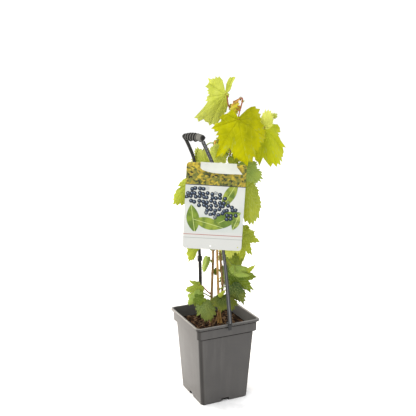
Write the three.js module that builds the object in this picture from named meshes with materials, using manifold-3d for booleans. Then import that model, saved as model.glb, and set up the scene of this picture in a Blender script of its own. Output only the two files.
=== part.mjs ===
// A young grapevine in a square nursery pot, with a carry handle that hooks over the rim and holds a
// picture card. Millimetres, +Z up. The origin is the centre of the pot's flat underside, and the pot's
// front face looks along -Y. A way round the pot is an angle in degrees: 0 is straight to the front (-Y),
// and 90 is straight to the right (+X).
import * as THREE from 'three';
import Module from 'manifold-3d';
import { mergeVertices } from 'three/addons/utils/BufferGeometryUtils.js';

const wasm = await Module();
wasm.setup();

const CLEAR = 0.3; // gap between pieces that touch
const VIEW_WAY = -25; // the way that the card and the front leaves face

// The pot: a tapered square bucket with rounded upright edges, a stepped-out band and a thin lip.
const POT = {
  foot: 63, // half its width at the ground
  shoulder: 74.5, // half its width just under the band
  band: 80, // half the band's width at its lower edge
  bandTop: 82,
  lip: 85,
  height: 210,
  bandHeight: 30,
  lipHeight: 3.5,
  wall: 2,
  floor: 3,
  corner: 12,
  soften: 2, // how far the step under the band and the edge at the ground run in
  lipEdge: 0.8,
};
const SLOT = { width: 20, height: 7, depth: 9, proud: 3 }; // the drain slot at the foot of each side
const SOIL = { level: 183, flat: 32, dip: 3.5, bumps: 1.6, shares: [1, 0.82, 0.62] };

// The three woody stems that stand in the pot, as points of their centre lines, with radii at foot and tip.
const LIMBS = {
  main_stem: {
    path: [[13, -6, 0], [9, -5, 73], [6, -3, 189], [5, -4, 257]],
    foot: 3.4, tip: 2.4, flare: 3.2,
  },
  left_shoot: {
    path: [[-7, 3, 0], [-6, 3, 73], [-3, 1, 189], [-5, 3, 317], [0, 6, 407], [4, 5, 457]],
    foot: 2.4, tip: 1.5, flare: 1.4,
  },
  right_shoot: {
    path: [[14, 9, 0], [21, -3, 90], [15, -2, 186], [24, -9, 297], [33, -15, 420], [34, -19, 507],
      [35, -20, 541], [51, -28, 556]],
    foot: 2.8, tip: 1.3, flare: 2,
  },
};
const FLARE_REACH = 9; // height over which a stem's foot narrows
const STEM_RINGS = 20;
const STEM_SIDES = 8;

// The leaf: distance from the stalk to the edge in shares of the midrib's length, by angle from the midrib.
const LEAF_EDGE = [[0, 1], [13, 0.82], [25, 0.65], [43, 0.88], [56, 0.73], [68, 0.57], [84, 0.64],
  [102, 0.5], [124, 0.48], [146, 0.4], [166, 0.24], [180, 0.06]];
const LEAF_THICKNESS = 0.015; // in shares of the midrib's length
const LEAF_SHAPE = { fold: [-30, 15], droop: [0.08, 0.22], wave: [0.02, 0.07], ripples: 3 };
const STALK = {
  foot: 1.5, tip: 1.05, sides: 4, steps: 6,
  climb: 0.55, // how steeply a shoot leaves its limb
  stand: 0.6, // how far it stands off the limb, in shares of its radius
  leave: 0.38, enter: 0.22, under: 0.16, // how far its curve's handles reach, in shares of its span
  slimBase: 0.55, slimSize: 180, // a small leaf has a slimmer stalk
};

// Each mass is one side shoot. It leaves its limb at node (a height above the soil) and ends in a lead
// leaf, whose stalk joins the blade at way, reach (from the pot's axis) and height. The blade looks along
// face, tipped up by tilt, and its midrib hangs straight down, turned by roll. Its halves are bent along
// the midrib by the angles in folds, or by the seeded rule. As many more leaves stand along the shoot,
// where the rule finds room for them.
const MASSES = [
  {
    name: 'tip_leaves', limb: 'right_shoot', node: 500, more: 0,
    way: 43, reach: 27, height: 568,
    face: -40, tilt: 4, roll: -54, size: 98, folds: [0, -60],
  },
  {
    name: 'front_leaves', limb: 'right_shoot', node: 556, more: 0,
    way: 29, reach: 67, height: 512,
    face: -25, tilt: 15, roll: 12, size: 112, folds: [-8, -38],
  },
  {
    name: 'right_top_leaves', limb: 'right_shoot', node: 470, more: 0,
    way: 82, reach: 125, height: 488,
    face: -10, tilt: 12, roll: 24, size: 99, folds: [-40, -36],
  },
  {
    name: 'right_tip_leaves', limb: 'right_shoot', node: 505, more: 0,
    way: 73, reach: 122, height: 490,
    face: -40, tilt: -14, roll: 172, size: 46, folds: [-10, -15],
  },
  {
    name: 'handle_side_leaves', limb: 'left_shoot', node: 385, more: 0,
    way: -165, reach: 24, height: 403,
    face: -10, tilt: 10, roll: -60, size: 44, folds: [-10, -20],
  },
  {
    name: 'upper_front_leaves', limb: 'left_shoot', node: 440, more: 0,
    way: 22, reach: 18, height: 437,
    face: -30, tilt: 15, roll: -19, size: 42, folds: [-10, -35],
  },
  {
    name: 'upper_right_leaves', limb: 'right_shoot', node: 385, more: 0,
    way: 49, reach: 73, height: 397,
    face: -15, tilt: 12, roll: 60, size: 48, folds: [-15, -20],
  },
  {
    name: 'right_leaves', limb: 'right_shoot', node: 335, more: 0,
    way: 61, reach: 75, height: 346,
    face: -20, tilt: 10, roll: 6, size: 98, folds: [-32, -44],
  },
  {
    name: 'upper_left_leaves', limb: 'left_shoot', node: 335, more: 0,
    way: -103, reach: 57, height: 358,
    face: -35, tilt: 12, roll: -41, size: 66, folds: [-50, -25],
  },
  {
    name: 'mid_right_leaves', limb: 'right_shoot', node: 205, more: 0,
    way: 60, reach: 64, height: 226,
    face: -15, tilt: 14, roll: 30, size: 56, folds: [-10, -10],
  },
  {
    name: 'mid_front_leaves', limb: 'main_stem', node: 210, more: 0,
    way: 33, reach: 46, height: 221,
    face: -25, tilt: 18, roll: -6, size: 46, folds: [-20, -20],
  },
  {
    name: 'shade_leaves', limb: 'right_shoot', node: 165, more: 0,
    way: 78, reach: 53, height: 186,
    face: -20, tilt: 20, roll: -18, size: 44, folds: [-20, -20],
  },
  {
    name: 'curled_leaves', limb: 'right_shoot', node: 182, more: 0,
    way: 31, reach: 68, height: 162,
    face: -25, tilt: 118, roll: 118, size: 36, folds: [-20, 30],
  },
  {
    name: 'low_right_leaves', limb: 'right_shoot', node: 120, more: 0,
    way: 42, reach: 47, height: 140,
    face: -15, tilt: 6, roll: 41, size: 70, folds: [-35, -10],
  },
  {
    name: 'dark_right_leaves', limb: 'main_stem', node: 90, more: 0,
    way: 26, reach: 54, height: 108,
    face: -10, tilt: 10, roll: 46, size: 56, folds: [-50, 0],
  },
  {
    name: 'low_front_leaves', limb: 'main_stem', node: 62, more: 0,
    way: 6, reach: 40, height: 76,
    face: -25, tilt: 54, roll: 0, size: 54, folds: [0, 0],
  },
  {
    name: 'foot_leaves', limb: 'left_shoot', node: 45, more: 0,
    way: -62, reach: 42, height: 64,
    face: -30, tilt: 25, roll: 14, size: 50, folds: [-15, -15],
  },
  {
    name: 'low_left_leaves', limb: 'left_shoot', node: 78, more: 0,
    way: -98, reach: 42, height: 92,
    face: -35, tilt: 18, roll: -86, size: 37, folds: [0, -10],
  },
  {
    name: 'low_left_tip_leaves', limb: 'left_shoot', node: 70, more: 0,
    way: -80, reach: 36, height: 98,
    face: -20, tilt: 30, roll: 10, size: 22, folds: [-15, -15],
  },
  {
    name: 'hanging_leaves', limb: 'left_shoot', node: 160, more: 0,
    way: -85, reach: 24, height: 170,
    face: -30, tilt: 10, roll: -8, size: 36, folds: [-50, -50],
  },
  {
    name: 'small_leaves', limb: 'left_shoot', node: 130, more: 0,
    way: -41, reach: 14, height: 138,
    face: -25, tilt: 20, roll: 12, size: 23, folds: [-20, -20],
  },
  {
    name: 'mid_left_leaves', limb: 'left_shoot', node: 190, more: 0,
    way: -104, reach: 43, height: 199,
    face: -35, tilt: 14, roll: -28, size: 46, folds: [-15, -15],
  },
  {
    name: 'inner_low_leaves', limb: 'left_shoot', node: 235, more: 1,
    way: -52, reach: 28, height: 258,
    face: -35, tilt: 16, roll: -8, size: 42,
  },
  {
    name: 'inner_leaves', limb: 'left_shoot', node: 290, more: 1,
    way: -50, reach: 28, height: 317,
    face: -30, tilt: 16, roll: 10, size: 50,
  },
  {
    name: 'inner_right_leaves', limb: 'right_shoot', node: 265, more: 1,
    way: 54, reach: 34, height: 272,
    face: -5, tilt: 16, roll: 10, size: 38,
  },
  {
    name: 'back_low_leaves', limb: 'right_shoot', node: 104, more: 1,
    way: 107, reach: 60, height: 118,
    face: 122, tilt: 24, roll: 0, size: 70,
  },
  {
    name: 'back_mid_leaves', limb: 'right_shoot', node: 178, more: 1,
    way: 118, reach: 60, height: 180,
    face: 118, tilt: 18, roll: 0, size: 60,
  },
  {
    name: 'back_right_leaves', limb: 'right_shoot', node: 235, more: 1,
    way: 108, reach: 60, height: 250,
    face: 108, tilt: 20, roll: 4, size: 74,
  },
  {
    name: 'back_leaves', limb: 'left_shoot', node: 262, more: 1,
    way: 176, reach: 44, height: 262,
    face: 172, tilt: 12, roll: -4, size: 54,
  },
  {
    name: 'back_left_leaves', limb: 'left_shoot', node: 265, more: 1,
    way: -128, reach: 48, height: 290,
    face: -120, tilt: 18, roll: 0, size: 68,
  },
  {
    name: 'back_upper_leaves', limb: 'left_shoot', node: 325, more: 1,
    way: 170, reach: 34, height: 352,
    face: 170, tilt: 14, roll: 0, size: 56,
  },
  {
    name: 'back_high_leaves', limb: 'right_shoot', node: 355, more: 1,
    way: 130, reach: 56, height: 375,
    face: 130, tilt: 20, roll: 0, size: 78,
  },
  {
    name: 'back_top_left_leaves', limb: 'left_shoot', node: 448, more: 0,
    way: -176, reach: 52, height: 428,
    face: 180, tilt: 8, roll: 0, size: 38,
  },
  {
    name: 'back_top_leaves', limb: 'right_shoot', node: 455, more: 1,
    way: 116, reach: 62, height: 472,
    face: 118, tilt: 18, roll: 0, size: 84,
  },
];

// The seeded rule for the other leaves of a mass, as lowest and highest values.
const RULE = {
  tries: 10,
  first: 0.3, // share of the lead leaf's stalk at which the first of them stands
  spread: 0.4,
  turn: [38, 98], // to either side of the shoot
  size: [0.5, 0.85], // in shares of the lead leaf
  climb: [0.25, 0.95],
  stalk: [0.42, 0.72], // in shares of the leaf
  face: [-15, 15],
  tilt: [16, 50],
  roll: [-25, 25],
  room: 3.5, // space between leaves
  wideRoom: 5, // space round limbs, card and handle
};
const NEAR_SIDE = 60; // points further from a blade than this don't count as beyond it
const POT_ROOM = { half: 66, lift: 8, overRim: 4 }; // where leaves may hang inside the pot, or over its rim

// The carry handle: two straps that rise from the rim's middle, front and back, lean to the left and meet
// in a grip.
const CARRIER = {
  strap: [ // height, lean to the left, half the spread between the straps, and strap width
    [213, 0, 88.6, 9.5], [235, 0.5, 85.5, 9.2], [275, 2, 80, 8.6], [340, 6, 75, 7.4], [390, 10.5, 70, 6.6],
    [470, 17, 62.5, 7], [550, 25, 56, 7.4], [595, 31, 54, 7.8], [622, 42, 52.5, 8], [648, 54.5, 52, 8],
  ],
  steps: 20,
  thick: 3.6,
  groove: { half: 0.3, edge: 0.45, floor: 0.35 }, // in shares of the strap's half width and half thickness
};
const HOOK = { drop: 14, bridge: 3.2, inner: 2.2 }; // the hook at each strap's foot
const BUCKLE = { height: 331, size: [11.5, 7, 13] }; // joins the two lengths of the back strap
// The pads between the front strap and the card, at shares of the card's height from its middle.
const PAD = { heights: [-0.36, 0.4], width: 11, height: 16, sunk: 1.5 };
const GRIP = {
  half: 57, // from its middle to its ends
  height: 649, lean: 55, wide: 6.5, above: 5.5, below: 6.5, arch: 4.5,
  fingers: 4, hollow: 1.1, steps: 36, sides: 12,
  endShare: 0.72, endReach: 5,
};
const HAND_GAP = { low: [-66, -42, 600], high: [-26, 42, 641] }; // kept free of leaves, for the fingers

// The picture card, and the paper slip that is folded over its top edge. The card's middle is so far
// towards its viewer and to that viewer's right.
const CARD = {
  width: 138, height: 203, thick: 0.9, corner: 8, cornerSteps: 5,
  toward: 70.5, right: -1.2, middle: 496.5, roll: 3.3, lean: 1.6,
  holes: [-4, 60], holeRadius: 1.6, holeHeight: 8,
};
const SLIP = {
  left: -27, right: 46, drop: 24, bulge: 11, thick: 0.6, back: 8, steps: 18,
  widen: 14, narrow: 9, // how far its free edge reaches past the right side, and falls short of the left
  bend: 2, belly: 0.55, // where it turns down from the card's edge, and its bulge half way down
};

const rad = THREE.MathUtils.degToRad;
const deg = THREE.MathUtils.radToDeg;
const UP = new THREE.Vector3(0, 0, 1);
const v3 = (x, y, z) => new THREE.Vector3(x, y, z);
const lerp = THREE.MathUtils.lerp;

// The level unit vector along a way round the pot.
function along(way) {
  return v3(Math.sin(rad(way)), -Math.cos(rad(way)), 0);
}

// A direction turned by an angle towards another that is square to it.
function turned(from, towards, angle) {
  return from.clone().multiplyScalar(Math.cos(rad(angle))).addScaledVector(towards, Math.sin(rad(angle)));
}

// A repeatable stream of numbers from 0 to 1.
function dice(seed) {
  let state = (seed * 2654435761) >>> 0;
  return () => {
    state = (Math.imul(state, 1664525) + 1013904223) >>> 0;
    return state / 4294967296;
  };
}

// The next number of the stream, between a lowest and a highest value.
function between([low, high], random) {
  return low + (high - low) * random();
}

// The middle of a ring of points.
function middleOf(ring) {
  return ring.reduce((sum, p) => sum.add(p), v3(0, 0, 0)).divideScalar(ring.length);
}

// A closed skin over rings that have the same number of points, with a fan over each end ring.
function skin(rings) {
  const count = rings[0].length;
  const positions = rings.flat().flatMap((p) => [p.x, p.y, p.z]);
  const index = [];
  for (let r = 0; r + 1 < rings.length; r++) {
    for (let i = 0; i < count; i++) {
      const a = r * count + i;
      const b = r * count + ((i + 1) % count);
      index.push(a, b, a + count, b, b + count, a + count);
    }
  }
  [0, rings.length - 1].forEach((r) => {
    const centre = positions.length / 3;
    positions.push(...middleOf(rings[r]).toArray());
    for (let i = 0; i < count; i++) {
      const a = r * count + i;
      const b = r * count + ((i + 1) % count);
      index.push(...(r === 0 ? [b, a, centre] : [a, b, centre]));
    }
  });
  return closed(positions, index);
}

// A geometry from positions and triangles, turned so that its faces point out.
function closed(positions, index) {
  const at = (k) => v3(...positions.slice(3 * k, 3 * k + 3));
  let volume = 0;
  for (let i = 0; i < index.length; i += 3) {
    volume += at(index[i]).dot(at(index[i + 1]).cross(at(index[i + 2])));
  }
  if (volume < 0) index.reverse();
  const geometry = new THREE.BufferGeometry();
  geometry.setAttribute('position', new THREE.Float32BufferAttribute(positions, 3));
  geometry.setIndex(index);
  return geometry;
}

// The same shape as a solid that can be joined and cut.
function solid(geometry) {
  const bare = geometry.clone();
  bare.deleteAttribute('normal');
  bare.deleteAttribute('uv');
  const merged = mergeVertices(bare, 1e-4);
  return new wasm.Manifold(new wasm.Mesh({
    numProp: 3,
    vertProperties: new Float32Array(merged.attributes.position.array),
    triVerts: new Uint32Array(merged.index.array),
  }));
}

// A solid back as a geometry: its largest body, so that no loose scrap is kept.
function geometryOf(made) {
  const body = made.decompose().reduce((best, piece) => (piece.volume() > best.volume() ? piece : best));
  const mesh = body.getMesh();
  const geometry = new THREE.BufferGeometry();
  geometry.setAttribute('position', new THREE.BufferAttribute(mesh.vertProperties, 3));
  geometry.setIndex(new THREE.BufferAttribute(mesh.triVerts, 1));
  return geometry;
}

// A solid box of the given size about a centre.
function block([width, depth, height], [x, y, z]) {
  return solid(new THREE.BoxGeometry(width, depth, height).translate(x, y, z));
}

// A level square with rounded corners, at height z.
function squareRing(half, corner, z, steps = 3) {
  const ring = [];
  for (let side = 0; side < 4; side++) {
    for (let k = 0; k <= steps; k++) {
      const angle = (side + k / steps) * (Math.PI / 2);
      const sx = side === 0 || side === 3 ? 1 : -1;
      const sy = side < 2 ? 1 : -1;
      const x = sx * (half - corner) + corner * Math.cos(angle);
      const y = sy * (half - corner) + corner * Math.sin(angle);
      ring.push(v3(x, y, z));
    }
  }
  return ring;
}

// Half the pot's outer width below the band, at height z.
function potHalf(z) {
  return lerp(POT.foot, POT.shoulder, z / (POT.height - POT.bandHeight));
}

function potGeometry() {
  const bandFoot = POT.height - POT.bandHeight;
  const lipFoot = POT.height - POT.lipHeight;
  const { soften, wall, lipEdge } = POT;
  const outer = [[POT.foot - soften, 0], [potHalf(soften), soften], [POT.shoulder, bandFoot - soften],
    [POT.band, bandFoot], [POT.bandTop, lipFoot], [POT.lip, lipFoot + lipEdge],
    [POT.lip, POT.height - lipEdge], [POT.lip - lipEdge, POT.height]];
  const inner = [[POT.bandTop - wall, POT.height], [POT.bandTop - wall, lipFoot],
    [POT.band - wall, bandFoot], [POT.shoulder - wall, bandFoot - soften],
    [potHalf(POT.floor) - wall, POT.floor]];
  let pot = solid(skin([...outer, ...inner].map(([half, z]) => squareRing(half, POT.corner, z))));
  for (let side = 0; side < 4; side++) {
    const slot = new THREE.BoxGeometry(SLOT.width, SLOT.depth, SLOT.height * 2);
    slot.translate(0, -POT.foot + SLOT.depth / 2 - SLOT.proud, 0).rotateZ((side * Math.PI) / 2);
    pot = pot.subtract(solid(slot));
  }
  return geometryOf(pot);
}

// The bark mix in the pot: flat about the stems, dipping and lumpy out to the wall.
function soilGeometry() {
  const random = dice(5);
  const foot = POT.floor + CLEAR;
  const bandFoot = POT.height - POT.bandHeight;
  const edge = POT.shoulder - POT.wall - 2 * CLEAR;
  const rings = [
    squareRing(potHalf(foot) - POT.wall - CLEAR, POT.corner, foot),
    squareRing(edge, POT.corner, bandFoot - 2 * POT.soften),
  ];
  for (const share of SOIL.shares) {
    const ring = squareRing(edge * share, POT.corner, SOIL.level - SOIL.dip * share);
    if (share < 1) ring.forEach((p) => p.setZ(p.z + between([-SOIL.bumps, SOIL.bumps], random)));
    rings.push(ring);
  }
  rings.push(squareRing(SOIL.flat, POT.corner, SOIL.level));
  return skin(rings);
}

// A smooth curve through points.
function throughPoints(points) {
  return new THREE.CatmullRomCurve3(points, false, 'centripetal');
}

// A limb's centre line, in the pot's frame.
function limbCurve({ path }) {
  return throughPoints(path.map(([x, y, z]) => v3(x, y, z + SOIL.level + CLEAR)));
}

// The rings of a round bar along a curve, whose radius is a function of the share of its length.
function barRings(curve, steps, sides, radius) {
  const { normals, binormals } = curve.computeFrenetFrames(steps, false);
  const rings = [];
  for (let s = 0; s <= steps; s++) {
    const centre = curve.getPointAt(s / steps);
    const r = radius(s / steps);
    const ring = [];
    for (let i = 0; i < sides; i++) {
      const angle = (2 * Math.PI * i) / sides;
      const point = centre.clone().addScaledVector(normals[s], r * Math.cos(angle));
      ring.push(point.addScaledVector(binormals[s], r * Math.sin(angle)));
    }
    rings.push(ring);
  }
  return rings;
}

// A limb's radius by the share of its length, with the swell at its foot.
function limbRadius(limb) {
  const length = limbCurve(limb).getLength();
  return (t) => lerp(limb.foot, limb.tip, t) + limb.flare * Math.exp((-t * length) / FLARE_REACH);
}

function limbGeometry(limb) {
  const rings = barRings(limbCurve(limb), STEM_RINGS, STEM_SIDES, limbRadius(limb));
  rings[0].forEach((p) => p.setZ(SOIL.level + CLEAR)); // the flat cut at the soil
  return skin(rings);
}

// The point of a limb at a height above the soil, its radius and its direction there.
function limbAt(limb, height) {
  const curve = limbCurve(limb);
  const z = SOIL.level + CLEAR + height;
  let low = 0;
  let high = 1;
  while (high - low > 1e-7) {
    const middle = (low + high) / 2;
    if (curve.getPointAt(middle).z < z) low = middle;
    else high = middle;
  }
  const atTip = low > 0.999;
  const radius = limbRadius(limb)(low);
  return { point: curve.getPointAt(low), radius, lead: curve.getTangentAt(low), atTip };
}

// Distance from the stalk to the leaf's edge, at an angle in degrees from the midrib, for a midrib of
// length 1.
function leafEdge(angle) {
  const a = Math.min(180, Math.abs(angle));
  const next = Math.max(1, LEAF_EDGE.findIndex(([at]) => at >= a));
  const [a0, r0] = LEAF_EDGE[next - 1];
  const [a1, r1] = LEAF_EDGE[next];
  return lerp(r0, r1, (a - a0) / (a1 - a0));
}

// How far the blade rises from its flat plane at a place in it, in shares of the midrib.
function leafRise(leaf, u, v) {
  const r2 = u * u + v * v;
  return leaf.wave * r2 * Math.sin(LEAF_SHAPE.ripples * Math.atan2(v, u) + leaf.phase) - leaf.droop * r2;
}

// The bend of the half of the blade that v lies in, in radians.
function foldAt(leaf, v) {
  return rad(leaf.folds[v < 0 ? 0 : 1]);
}

// A leaf's own axes: out along the midrib, across it, and up from its face, with the point where the stalk
// joins.
function leafPose({ joint, face, tilt, roll, size, folds }, random) {
  const out = along(face);
  const normal = turned(out, UP, tilt);
  const down = turned(out, UP, tilt - 90);
  const midrib = turned(down, normal.clone().cross(down), roll);
  const across = normal.clone().cross(midrib);
  const leaf = { joint, midrib, across, normal, size };
  leaf.folds = folds ?? [between(LEAF_SHAPE.fold, random), between(LEAF_SHAPE.fold, random)];
  leaf.droop = between(LEAF_SHAPE.droop, random);
  leaf.wave = between(LEAF_SHAPE.wave, random);
  leaf.phase = 2 * Math.PI * random();
  return leaf;
}

// A place in the blade, in the pot's frame. u runs along the midrib, v across it, lift up from the blade.
function onLeaf(leaf, u, v, lift = 0) {
  const fold = foldAt(leaf, v);
  const rise = (leafRise(leaf, u, v) + Math.abs(v) * Math.sin(fold)) * leaf.size + lift;
  return leaf.joint.clone()
    .addScaledVector(leaf.midrib, u * leaf.size)
    .addScaledVector(leaf.across, v * Math.cos(fold) * leaf.size)
    .addScaledVector(leaf.normal, rise);
}

// A place in the blade by angle from the midrib and share of the way out to the edge.
function leafPoint(leaf, angle, share, lift = 0) {
  const r = leafEdge(angle) * share;
  return onLeaf(leaf, r * Math.cos(rad(angle)), r * Math.sin(rad(angle)), lift);
}

// The angles at which the leaf's outline has a point, both sides of the midrib.
function leafAngles() {
  const half = LEAF_EDGE.map(([angle]) => angle);
  return [...half, ...half.slice(1, -1).reverse().map((angle) => -angle)];
}

// The blade as a closed sheet: a fan from the stalk's joint to the outline, above and below.
function bladeGeometry(leaf) {
  const angles = leafAngles();
  const half = (LEAF_THICKNESS * leaf.size) / 2;
  const positions = [];
  const index = [];
  [half, -half].forEach((lift) => {
    positions.push(...onLeaf(leaf, 0, 0, lift).toArray());
    angles.forEach((angle) => positions.push(...leafPoint(leaf, angle, 1, lift).toArray()));
  });
  const count = angles.length;
  const under = count + 1;
  for (let i = 0; i < count; i++) {
    const a = 1 + i;
    const b = 1 + ((i + 1) % count);
    index.push(0, a, b, under, under + b, under + a, a, under + a, b, b, under + a, under + b);
  }
  return closed(positions, index);
}

// The stalk from a start point, leaving along a direction, to the leaf's joint, which it enters from its
// open end.
function stalkCurve(start, leave, leaf) {
  const span = start.distanceTo(leaf.joint);
  const end = leaf.joint.clone();
  const first = start.clone().addScaledVector(leave, span * STALK.leave);
  const second = end.clone().addScaledVector(leaf.midrib, -span * STALK.enter);
  second.addScaledVector(leaf.normal, -span * STALK.under);
  return new THREE.CubicBezierCurve3(start, first, second, end);
}

// Points spread over a leaf's blade.
function leafCloud(leaf) {
  return leafAngles().flatMap((angle) => [0.25, 0.5, 0.75, 1].map((share) => leafPoint(leaf, angle, share)));
}

// Whether a cloud of points touches the blade, or has points on both sides of it within its outline.
function cuts(leaf, cloud, margin) {
  let above = false;
  let below = false;
  const from = v3(0, 0, 0);
  for (const p of cloud) {
    from.subVectors(p, leaf.joint);
    const u = from.dot(leaf.midrib) / leaf.size;
    const flat = from.dot(leaf.across) / leaf.size;
    const v = flat / Math.cos(foldAt(leaf, flat));
    if (Math.hypot(u, v) < leafEdge(deg(Math.atan2(v, u))) + margin / leaf.size) {
      const rise = leafRise(leaf, u, v) + Math.abs(v) * Math.sin(foldAt(leaf, v));
      const lift = from.dot(leaf.normal) - rise * leaf.size;
      if (Math.abs(lift) < margin) return true;
      above = above || (lift > 0 && lift < NEAR_SIDE);
      below = below || (lift < 0 && lift > -NEAR_SIDE);
    }
  }
  return above && below;
}

// The card's own axes, as seen by whoever reads it: to the right, up and out of its face.
function cardAxes() {
  const face = along(VIEW_WAY);
  const level = along(VIEW_WAY + 90);
  const out = turned(face, UP, CARD.lean);
  const right = turned(level, out.clone().cross(level), -CARD.roll);
  const up = out.clone().cross(right);
  const centre = face.multiplyScalar(CARD.toward).addScaledVector(level, CARD.right).setZ(CARD.middle);
  return { right, up, out, centre };
}

// A place on the card: so far right and up of its middle, and out of its front.
function onCard(right, up, out) {
  const axes = cardAxes();
  const place = axes.centre.addScaledVector(axes.right, right);
  return place.addScaledVector(axes.up, up).addScaledVector(axes.out, out);
}

// Points of everything that a leaf keeps clear of.
function thingClouds() {
  const card = [];
  for (let i = -6; i <= 6; i++) {
    for (let k = -8; k <= 8; k++) {
      card.push(onCard((i / 12) * CARD.width, (k / 16) * CARD.height, CARD.thick));
      card.push(onCard((i / 12) * CARD.width, (k / 16) * CARD.height, -CARD.thick));
    }
  }
  const clouds = [card, gripPath().getSpacedPoints(12)];
  [-1, 1].forEach((side) => clouds.push(strapPath(side).getSpacedPoints(70)));
  Object.values(LIMBS).forEach((limb) => clouds.push(limbCurve(limb).getSpacedPoints(90)));
  return clouds;
}

// Whether a leaf stays within the plant's space: over the rim or inside the pot, and out of the hand gap.
function inSpace(cloud) {
  return cloud.every((p) => {
    const inPot = Math.max(Math.abs(p.x), Math.abs(p.y)) < POT_ROOM.half && p.z > SOIL.level + POT_ROOM.lift;
    const place = p.toArray();
    const inHand = place.every((value, k) => value > HAND_GAP.low[k] && value < HAND_GAP.high[k]);
    return (inPot || p.z > POT.height + POT_ROOM.overRim) && !inHand;
  });
}

// The start of a side shoot, just clear of its limb, and the direction in which it leaves.
function shootStart(mass) {
  const limb = limbAt(LIMBS[mass.limb], mass.node);
  if (limb.atTip) return { start: limb.point.addScaledVector(limb.lead, CLEAR), leave: limb.lead };
  const leave = along(mass.way).multiplyScalar(mass.reach).sub(limb.point).setZ(0).normalize();
  const start = limb.point.addScaledVector(leave, limb.radius + STALK.foot * STALK.stand + CLEAR);
  return { start, leave: leave.addScaledVector(UP, STALK.climb).normalize() };
}

// One more leaf of a mass, from a place along its shoot and to one side of it.
function otherLeaf(mass, share, side, shoot, random) {
  const start = shoot.getPointAt(share);
  const lead = shoot.getTangentAt(share);
  const way = deg(Math.atan2(lead.x, -lead.y)) + side * between(RULE.turn, random);
  const size = mass.size * between(RULE.size, random);
  const leave = along(way).addScaledVector(UP, between(RULE.climb, random)).normalize();
  const joint = start.clone().addScaledVector(leave, size * between(RULE.stalk, random));
  const face = way + between(RULE.face, random);
  const tilt = between(RULE.tilt, random);
  const roll = between(RULE.roll, random);
  const leaf = leafPose({ joint, size, face, tilt, roll }, random);
  leaf.stalk = stalkCurve(start, leave, leaf);
  return leaf;
}

// What the test for room needs to know of a leaf: points of its blade and of its stalk.
function record(leaf) {
  return { leaf, cloud: leafCloud(leaf), stalk: leaf.stalk.getSpacedPoints(10) };
}

// Whether a leaf has room among the things and the leaves that are already there.
function hasRoom({ leaf, cloud, stalk }, things, placed) {
  const free = stalk.slice(1);
  return inSpace(cloud) && things.every((thing) => !cuts(leaf, thing, RULE.wideRoom))
    && placed.every((other) => !cuts(leaf, other.cloud, RULE.room) && !cuts(other.leaf, cloud, RULE.room)
      && !cuts(other.leaf, free, RULE.room) && !cuts(leaf, other.stalk.slice(2, -1), RULE.room));
}

// Places every leaf: first each mass's lead leaf, then the others by the seeded rule where they have room.
function growLeaves() {
  const things = thingClouds();
  const placed = [];
  const grown = MASSES.map((mass, order) => {
    const random = dice(order + 1);
    const joint = along(mass.way).multiplyScalar(mass.reach).setZ(SOIL.level + CLEAR + mass.height);
    const leaf = leafPose({ ...mass, joint }, random);
    const { start, leave } = shootStart(mass);
    leaf.stalk = stalkCurve(start, leave, leaf);
    placed.push(record(leaf));
    return { mass, random, leaves: [leaf] };
  });
  grown.forEach(({ mass, random, leaves }) => {
    for (let k = 0; k < mass.more; k++) {
      const share = RULE.first + (RULE.spread * k) / Math.max(1, mass.more - 1);
      for (let attempt = 0; attempt < RULE.tries; attempt++) {
        const side = (k + attempt) % 2 ? 1 : -1;
        const found = record(otherLeaf(mass, share, side, leaves[0].stalk, random));
        if (hasRoom(found, things, placed)) {
          placed.push(found);
          leaves.push(found.leaf);
          break;
        }
      }
    }
  });
  return grown;
}

// One mass: its stalks and blades joined into one solid.
function massGeometry(leaves) {
  const pieces = leaves.flatMap((leaf) => {
    const slim = Math.min(1, STALK.slimBase + leaf.size / STALK.slimSize);
    const radius = (t) => lerp(STALK.foot, STALK.tip, t) * slim;
    const stalk = skin(barRings(leaf.stalk, STALK.steps, STALK.sides, radius));
    return [solid(stalk), solid(bladeGeometry(leaf))];
  });
  return geometryOf(pieces.reduce((whole, piece) => whole.add(piece)));
}

// The centre line of a strap, on the front side (-1) or the back side (1).
function strapPath(side) {
  return throughPoints(CARRIER.strap.map(([z, lean, half]) => v3(-lean, side * half, z)));
}

// The point of a strap's centre line that is at a height.
function strapAt(side, z) {
  const points = strapPath(side).getSpacedPoints(200);
  return points.reduce((best, p) => (Math.abs(p.z - z) < Math.abs(best.z - z) ? p : best));
}

// The strap's width at a height.
function strapWidth(z) {
  const next = Math.max(1, CARRIER.strap.findIndex(([at]) => at >= z));
  const [z0, , , w0] = CARRIER.strap[next - 1];
  const [z1, , , w1] = CARRIER.strap[next];
  return lerp(w0, w1, THREE.MathUtils.clamp((z - z0) / (z1 - z0), 0, 1));
}

// The rings of a strap: a flat bar with a shallow groove down its outer face. Grown all round and with no
// groove, they make the hollow that takes it.
function strapRings(side, grow = 0) {
  const curve = strapPath(side);
  const { half, edge, floor } = CARRIER.groove;
  const bed = grow > 0 ? 1 : floor;
  const section = [[-1, -1], [1, -1], [1, 1], [edge, 1], [half, bed], [-half, bed], [-edge, 1], [-1, 1]];
  const rings = [];
  for (let s = 0; s <= CARRIER.steps; s++) {
    const centre = curve.getPointAt(s / CARRIER.steps);
    const lead = curve.getTangentAt(s / CARRIER.steps);
    const out = v3(0, side, 0).addScaledVector(lead, -lead.y * side).normalize();
    const wide = lead.clone().cross(out).normalize();
    const w = strapWidth(centre.z) / 2 + grow;
    const t = CARRIER.thick / 2 + grow;
    const corner = ([a, b]) => centre.clone().addScaledVector(wide, a * w).addScaledVector(out, b * t);
    rings.push(section.map(corner));
  }
  return rings;
}

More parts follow.
